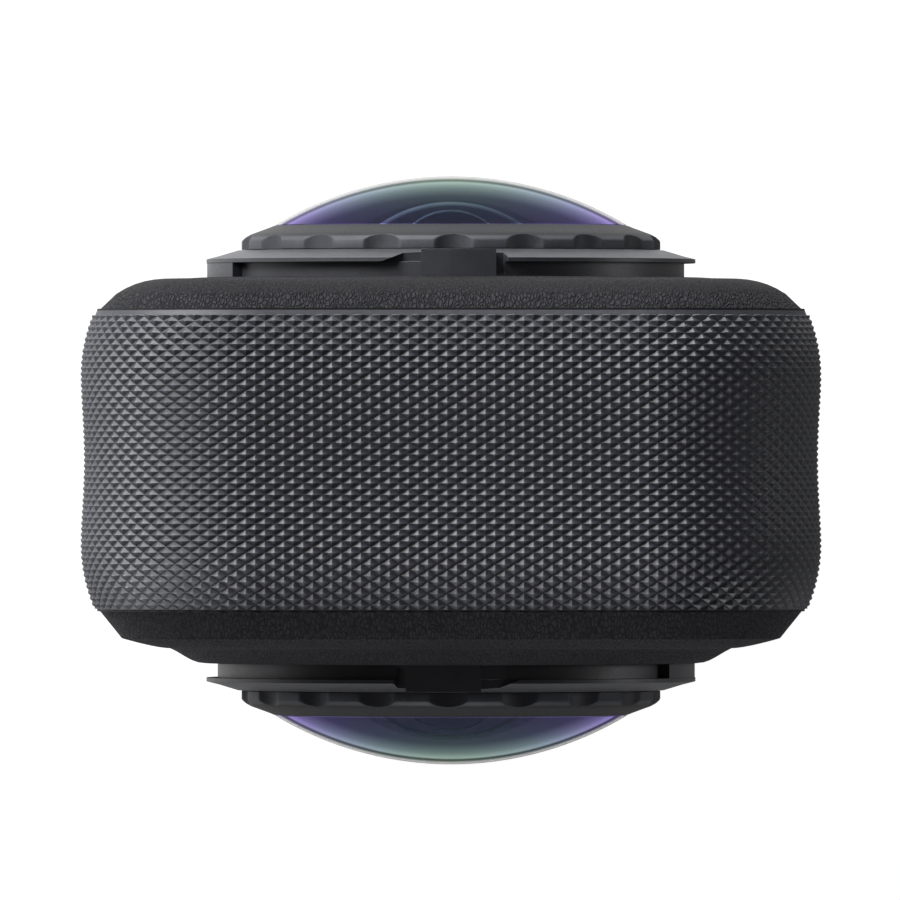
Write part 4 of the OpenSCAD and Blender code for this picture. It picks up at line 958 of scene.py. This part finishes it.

# %% [markdown]
# ## Turned pieces
# Domes, elements and rings are figures of revolution, so each is a section turned about the lens axis.
# The sections are closed, in pairs of radius and height above the rear cover, where the collar sits. One
# mesh tool joins any row of closed rings, and it will serve for the dark seam strips too.

# %% Turning
SEAT = round(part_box("rear_cover")[1].y / MM, 2)
ON_REAR = Matrix.Translation((0, SEAT * MM, LENS_Z * MM)) @ Matrix.Rotation(-math.pi / 2, 4, "X")
SIDES = (("rear", ON_REAR), ("front", Matrix.Rotation(math.pi, 4, "Z") @ ON_REAR))


def skinned(name, rings, smooth=True):
    """Mesh through rings of points, the last joined to the first. A ring of one point is a pole."""
    body = bmesh.new()
    loops = [[body.verts.new(point) for point in ring] for ring in rings]
    around = max(len(ring) for ring in loops)
    for a, b in zip(loops, loops[1:] + loops[:1]):
        if len(a) == len(b) == 1:
            continue
        for k in range(around):
            quad = [a[k % len(a)], a[(k + 1) % len(a)], b[(k + 1) % len(b)], b[k % len(b)]]
            body.faces.new(list(dict.fromkeys(quad)))
    bmesh.ops.recalc_face_normals(body, faces=body.faces)
    if smooth:
        smooth_faces(body)
    mesh = bpy.data.meshes.new(name)
    body.to_mesh(mesh)
    body.free()
    return mesh


def turned(name, section, around):
    """Mesh of a closed section, in mm, turned about Z. Points on the axis become poles."""
    rings = []
    for r, h in section:
        turns = [math.tau * k / around for k in range(around if r else 1)]
        rings.append([(r * MM * math.cos(a), r * MM * math.sin(a), h * MM) for a in turns])
    return skinned(name, rings)


def arc(radius, centre, from_r, to_r, steps):
    """Points of a sphere's section about a centre height, from one radius to another."""
    start, end = math.asin(from_r / radius), math.asin(to_r / radius)
    angles = [start + (end - start) * i / steps for i in range(steps + 1)]
    return [(round(radius * math.sin(a), 6), centre + radius * math.cos(a)) for a in angles]


print("the collars sit", SEAT, "mm from the lens mid-plane")

# %% [markdown]
# ## Domes and elements
# A dome is a meniscus: a flat outer curve over a deep hollow. The second element is cemented on the inner
# lens, and a bubble-shaped gap under its middle gives the smaller of the two arcs. The black baffle round
# them steps down in terraces, which keep stray light out.

# %% Sections of the lens
DOME_RISE, DOME_RIM, DOME_WALL = 3.05, 0.4, 1.5
DOME_APEX, DOME_FOOT = 6.35, 2.02
DOME_CURVE = (DOME_R ** 2 + DOME_RISE ** 2) / (2 * DOME_RISE)
HOLLOW_CURVE, HOLLOW_APEX = DOME_R - DOME_RIM, DOME_APEX - DOME_WALL
foot_r = math.sqrt(HOLLOW_CURVE ** 2 - (DOME_FOOT - HOLLOW_APEX + HOLLOW_CURVE) ** 2)
dome_section = (arc(DOME_CURVE, DOME_APEX - DOME_CURVE, 0, DOME_R, steps=40)
                + [(DOME_R, DOME_FOOT), (foot_r, DOME_FOOT)]
                + arc(HOLLOW_CURVE, HOLLOW_APEX - HOLLOW_CURVE, foot_r, 0, steps=40)[1:])
INNER_R, INNER_CURVE, INNER_APEX, INNER_BACK = 6.8, 9, 3.4, -2
inner_section = (arc(INNER_CURVE, INNER_APEX - INNER_CURVE, 0, INNER_R, steps=32)
                 + [(INNER_R, INNER_BACK), (0, INNER_BACK)])
SECOND_R, SECOND_CURVE, SECOND_APEX = 5.6, 7.9, 4.75
GAP_R, GAP_CURVE, GAP_APEX = 2.85, 3.76, 4.25
CEMENT = 0.02
second_section = (arc(SECOND_CURVE, SECOND_APEX - SECOND_CURVE, 0, SECOND_R, steps=32)
                  + arc(INNER_CURVE, INNER_APEX - INNER_CURVE - CEMENT, SECOND_R, GAP_R, steps=12)
                  + arc(GAP_CURVE, GAP_APEX - GAP_CURVE, GAP_R, 0, steps=24)[1:])
baffle_section = [(6.9, 0.3), (10.3, 0.3), (10.3, 1.95), (9.7, 1.95), (9.4, 1.7), (9.2, 1.7), (8.9, 1.4),
                  (8.7, 1.4), (8.4, 1.15), (8.2, 1.15), (7.4, 0.9), (6.9, 0.9)]
print("dome radius", round(DOME_CURVE, 2), "mm over a hollow of", HOLLOW_CURVE, "mm")

# %% Turn the lens
DOME_STEPS, LENS_STEPS = 160, 128
FILM_MARGIN = 0.01


def mark_film(mesh):
    """Marks a dome's outer face, which lies further from the hollow's centre than its wall does."""
    centre = Vector((0, 0, HOLLOW_APEX - HOLLOW_CURVE)) * MM
    layer = mesh.attributes.new(FILM, "FLOAT", "POINT")
    for mark, vertex in zip(layer.data, mesh.vertices):
        mark.value = float((vertex.co - centre).length > (HOLLOW_CURVE + FILM_MARGIN) * MM)


for side, place in SIDES:
    dome = turned(side + "_dome_turned", dome_section, DOME_STEPS)
    mark_film(dome)
    put(dome, side + "_lens", "coated_glass", place, [side + "_dome"])
    for part, section, slot in (("inner_lens", inner_section, "inner_glass"),
                                ("retaining_ring", baffle_section, "black_plastic")):
        mesh = turned(f"{side}_{part}_turned", section, LENS_STEPS)
        put(mesh, "camera_body", slot, place, [f"{side}_{part}"])
    second = turned(side + "_second_element", second_section, LENS_STEPS)
    put(second, "camera_body", "inner_glass", place, finish=glass_painted_edge_reflection)

# %% [markdown]
# ## Tripod thread
# The steel insert in the base takes a tripod screw of 1.27 mm pitch. At this size a thread reads as a
# stack of grooves, so the bore's wall is turned with one V groove for each pitch. A helix would look the
# same.

# %% Threaded insert
BORE_R, BORE_TOP, BORE_CHAMFER = 2.55, 7.0, 0.29
GROOVES, PITCH, GROOVE = 5, 1.27, 0.45
LEAD, GROOVE_SIDE, GROOVE_ROOT = 0.25, 0.48, 0.16
INSERT_LOW, INSERT_TOP, INSERT_R, INSERT_EDGE = 0.05, 8.5, 4.5, 0.08
FLANGE_R, FLANGE_LOW = 5.4, 7.5
INSERT_STEPS = 96
thread = [(BORE_R, BORE_TOP)]
for k in range(GROOVES):
    top = BORE_TOP - LEAD - k * PITCH
    thread += [(BORE_R, top), (BORE_R + GROOVE, top - GROOVE_SIDE),
               (BORE_R + GROOVE, top - GROOVE_SIDE - GROOVE_ROOT),
               (BORE_R, top - 2 * GROOVE_SIDE - GROOVE_ROOT)]
insert_section = thread + [
    (BORE_R, INSERT_LOW + BORE_CHAMFER), (BORE_R + BORE_CHAMFER, INSERT_LOW),
    (INSERT_R - INSERT_EDGE, INSERT_LOW), (INSERT_R, INSERT_LOW + INSERT_EDGE), (INSERT_R, FLANGE_LOW),
    (FLANGE_R, FLANGE_LOW), (FLANGE_R, INSERT_TOP), (0, INSERT_TOP), (0, BORE_TOP)]
insert = turned("tripod_insert_threaded", insert_section, INSERT_STEPS)
put(insert, "camera_body", slot_of["tripod_insert"], stands_for=["tripod_insert"])

# %% [markdown]
# ## Marks on the keys
# One ring on the key that starts a picture, two small ones on the key that changes the lens. Each is a
# printed ring a few hundredths of a millimetre proud of its key, and it moves with the key.

# %% Printed rings
MARK_PROUD, MARK_SUNK, MARK_STEPS = 0.03, 0.1, 64
# Places aside of the key's middle, with inner and outer radius.
KEY_MARKS = {"shutter_button": [(0, 1.1, 1.4)], "lens_button": [(-0.95, 0.55, 0.8), (0.95, 0.55, 0.8)]}
for key, rings in KEY_MARKS.items():
    low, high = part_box(key)
    for k, (aside, inner, outer) in enumerate(rings):
        section = [(inner, -MARK_SUNK), (outer, -MARK_SUNK), (outer, MARK_PROUD), (inner, MARK_PROUD)]
        spot = Vector(((low.x + high.x) / 2 + aside * MM, low.y, (low.z + high.z) / 2))
        place = Matrix.Translation(spot) @ Matrix.Rotation(math.pi / 2, 4, "X")
        put(turned(f"{key}_mark_{k}", section, MARK_STEPS), key, "button_plastic", place, finish=ink)

# %% [markdown]
# ## Scalloped rings
# The rings that hold the domes are turned, then milled with 18 shallow finger scallops by a round cutter.
# The ring is turned here too, and a small node tree moves every point that the cutter would reach onto
# the cutter's wall. Because the top slopes, each scallop bites a curve into the plain strip round the
# dome.

# %% Ring tree
SCALLOP_INPUTS = {"Geometry": ("Geometry",), "Float": ("Count", "Turn", "Cutter", "Reach", "Bottom"),
                  "Material": ("Finish",)}


def scallop_tree():
    """Node tree that pulls a ring's points in to the cutter's wall, and the identifiers of its inputs."""
    tree, identifiers, known = open_tree("finger_scallops", SCALLOP_INPUTS)
    spot = add(tree, "GeometryNodeInputPosition").outputs[0]
    known.update(add(tree, "ShaderNodeSeparateXYZ", {0: spot}).outputs.items())
    flat = add(tree, "ShaderNodeCombineXYZ", {"X": known["X"], "Y": known["Y"]}).outputs[0]
    chain(tree, known, VECTOR, (("radius", "LENGTH", flat), ("outward", "NORMALIZE", flat)))
    chain(tree, known, MATH, (
        # The angle is counted from the middle of the nearest scallop.
        ("turns", "ARCTAN2", "Y", "X"), ("turns", "DIVIDE", "turns", math.tau),
        ("turns", "MULTIPLY", "turns", "Count"), ("off", "SUBTRACT", "turns", "Turn"),
        ("off", "ADD", "off", 0.5), ("off", "FRACT", "off"), ("off", "SUBTRACT", "off", 0.5),
        ("angle", "DIVIDE", "off", "Count"), ("angle", "MULTIPLY", "angle", math.tau),
        # The wall is where a line from the axis at that angle meets the round cutter.
        ("sine", "SINE", "angle"), ("aside", "MULTIPLY", "Reach", "sine"),
        ("aside", "MULTIPLY", "aside", "aside"),
        ("chord", "POWER", "Cutter", 2.0), ("chord", "SUBTRACT", "chord", "aside"),
        ("missed", "LESS_THAN", "chord", 0.0),
        ("chord", "MAXIMUM", "chord", 0.0), ("chord", "SQRT", "chord"),
        ("wall", "COSINE", "angle"), ("wall", "MULTIPLY", "Reach", "wall"),
        ("wall", "SUBTRACT", "wall", "chord"),
        # For points that the cutter misses or passes above, the wall is put a metre out of the way.
        ("below", "LESS_THAN", "Z", "Bottom"), ("missed", "MAXIMUM", "missed", "below"),
        ("wall", "ADD", "wall", "missed"),
        ("pull", "SUBTRACT", "wall", "radius"), ("pull", "MINIMUM", "pull", 0.0)))
    chain(tree, known, VECTOR, (("move", "MULTIPLY", "outward", "pull"),))
    bent = add(tree, "GeometryNodeSetPosition", {"Geometry": known["Geometry"], "Offset": known["move"]})
    close_tree(tree, bent.outputs[0], known["Finish"])
    return tree, identifiers


# %% [markdown]
# ## The ring's section
# The crown rolls over from the outer wall to the sloping strip. Where the cutter bites, the section needs
# many points, because the tree can only move the points that are there.

# %% Ring section
RING_R, RING_LOW, RING_TOP = 13.1, 1.75, 3.25
SKIRT_R, SKIRT_LOW = 12.0, -3.4
BORE, DOME_SEAT_R, DOME_SEAT_H = 10.7, 11.05, 2.0
CUT_STEP, CUT_REACH = 0.03, 12.4
crown = [(RING_R, 2.24), (13.04, 2.34), (12.83, 2.53), (12.5, 2.71), (11.9, 2.93), (11.3, 3.15),
         (11.16, 3.22)]
fine_crown = []
for (r0, h0), (r1, h1) in zip(crown, crown[1:]):
    parts = max(1, round((r0 - r1) / CUT_STEP)) if r1 > CUT_REACH else 2
    fine_crown += [(r0 + (r1 - r0) * i / parts, h0 + (h1 - h0) * i / parts) for i in range(parts)]
ring_section = ([(BORE, SKIRT_LOW), (SKIRT_R, SKIRT_LOW), (SKIRT_R, RING_LOW), (RING_R, RING_LOW)]
                + fine_crown
                + [(DOME_SEAT_R, RING_TOP), (DOME_SEAT_R, DOME_SEAT_H), (BORE, DOME_SEAT_H)])
print("the ring's section has", len(ring_section), "points")

# %% [markdown]
# ## Cutting and finishing the rings
# One tree cuts both rings. Faces with the sloping strip's slope get a second material, a little smoother
# and painted darker: painted shade on the slope that the lamps light most.

# %% Cut the rings
SCALLOPS, SCALLOP_DEPTH, SCALLOP_TURN, CUTTER = 18, 0.45, 0.54, 2.0
BELOW = 0.01
RING_STEPS = 720
STRIP_SLOPE = (0.8, 0.98)  # share of the strip's normal that lies along the lens axis
tree, identifiers = scallop_tree()
for side, place in SIDES:
    name = side + "_ring_scalloped"
    ring = run_tree(show(name, turned(name, ring_section, RING_STEPS)), tree, identifiers, {
        "Cutter": CUTTER * MM, "Reach": (RING_R + CUTTER - SCALLOP_DEPTH) * MM,
        "Bottom": (RING_LOW - BELOW) * MM, "Count": float(SCALLOPS), "Turn": SCALLOP_TURN,
        "Finish": ring_blasted})
    ring.data.transform(place)
    seat(ring, side + "_lens", "lens_metal", [side + "_lens_ring"], ring_blasted)
    # Painted shade: faces with the strip's slope take the darker copy of the finish.
    ring.data.materials.append(ring_strip_painted_shade)
    for face in ring.data.polygons:
        face.material_index = int(STRIP_SLOPE[0] < abs(face.normal.y) < STRIP_SLOPE[1])

# %% [markdown]
# ## Painted shadow lines at the seams
# Between each cover and the band lies a small step. A thin black strip in it draws the dark line there: a
# painted shadow for the shade in that step. It is a small square section swept round the body's outline.

# %% Painted shadow strips
BEAD, BEAD_OUTER, BEAD_INNER = 0.12, 1.07, 1.3
CORNER_STEPS = 16


def outline(inset):
    """Points of the body's rounded outline, set in by some mm, as x and z."""
    r = CORNER - inset
    points = []
    for k, (sx, sz) in enumerate(((1, 1), (-1, 1), (-1, -1), (1, -1))):
        for i in range(CORNER_STEPS + 1):
            a = math.pi / 2 * (k + i / CORNER_STEPS)
            points.append((sx * (BODY_W / 2 - CORNER) + r * math.cos(a),
                           BODY_H / 2 + sz * (BODY_H / 2 - CORNER) + r * math.sin(a)))
    return points


for side, y in (("rear", REAR_SEAM), ("front", -FRONT_SEAM)):
    out = y + math.copysign(BEAD, y)
    section = ((BEAD_OUTER, y), (BEAD_OUTER, out), (BEAD_INNER, out), (BEAD_INNER, y))
    rings = [[(x * MM, depth * MM, z * MM) for x, z in outline(inset)] for inset, depth in section]
    # Painted shadow: a black strip, in the rubber finish, where the seam's shade falls.
    put(skinned(side + "_seam_shadow_strip", rings, smooth=False), "camera_body", "rubber")

# %% [markdown]
# ## The dressed model's box
# The box of the dressed model is printed, in mm.

# %% Sizes and finish
low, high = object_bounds()
print("visual box in mm:", [round(v / MM, 2) for v in (*low, *high)])
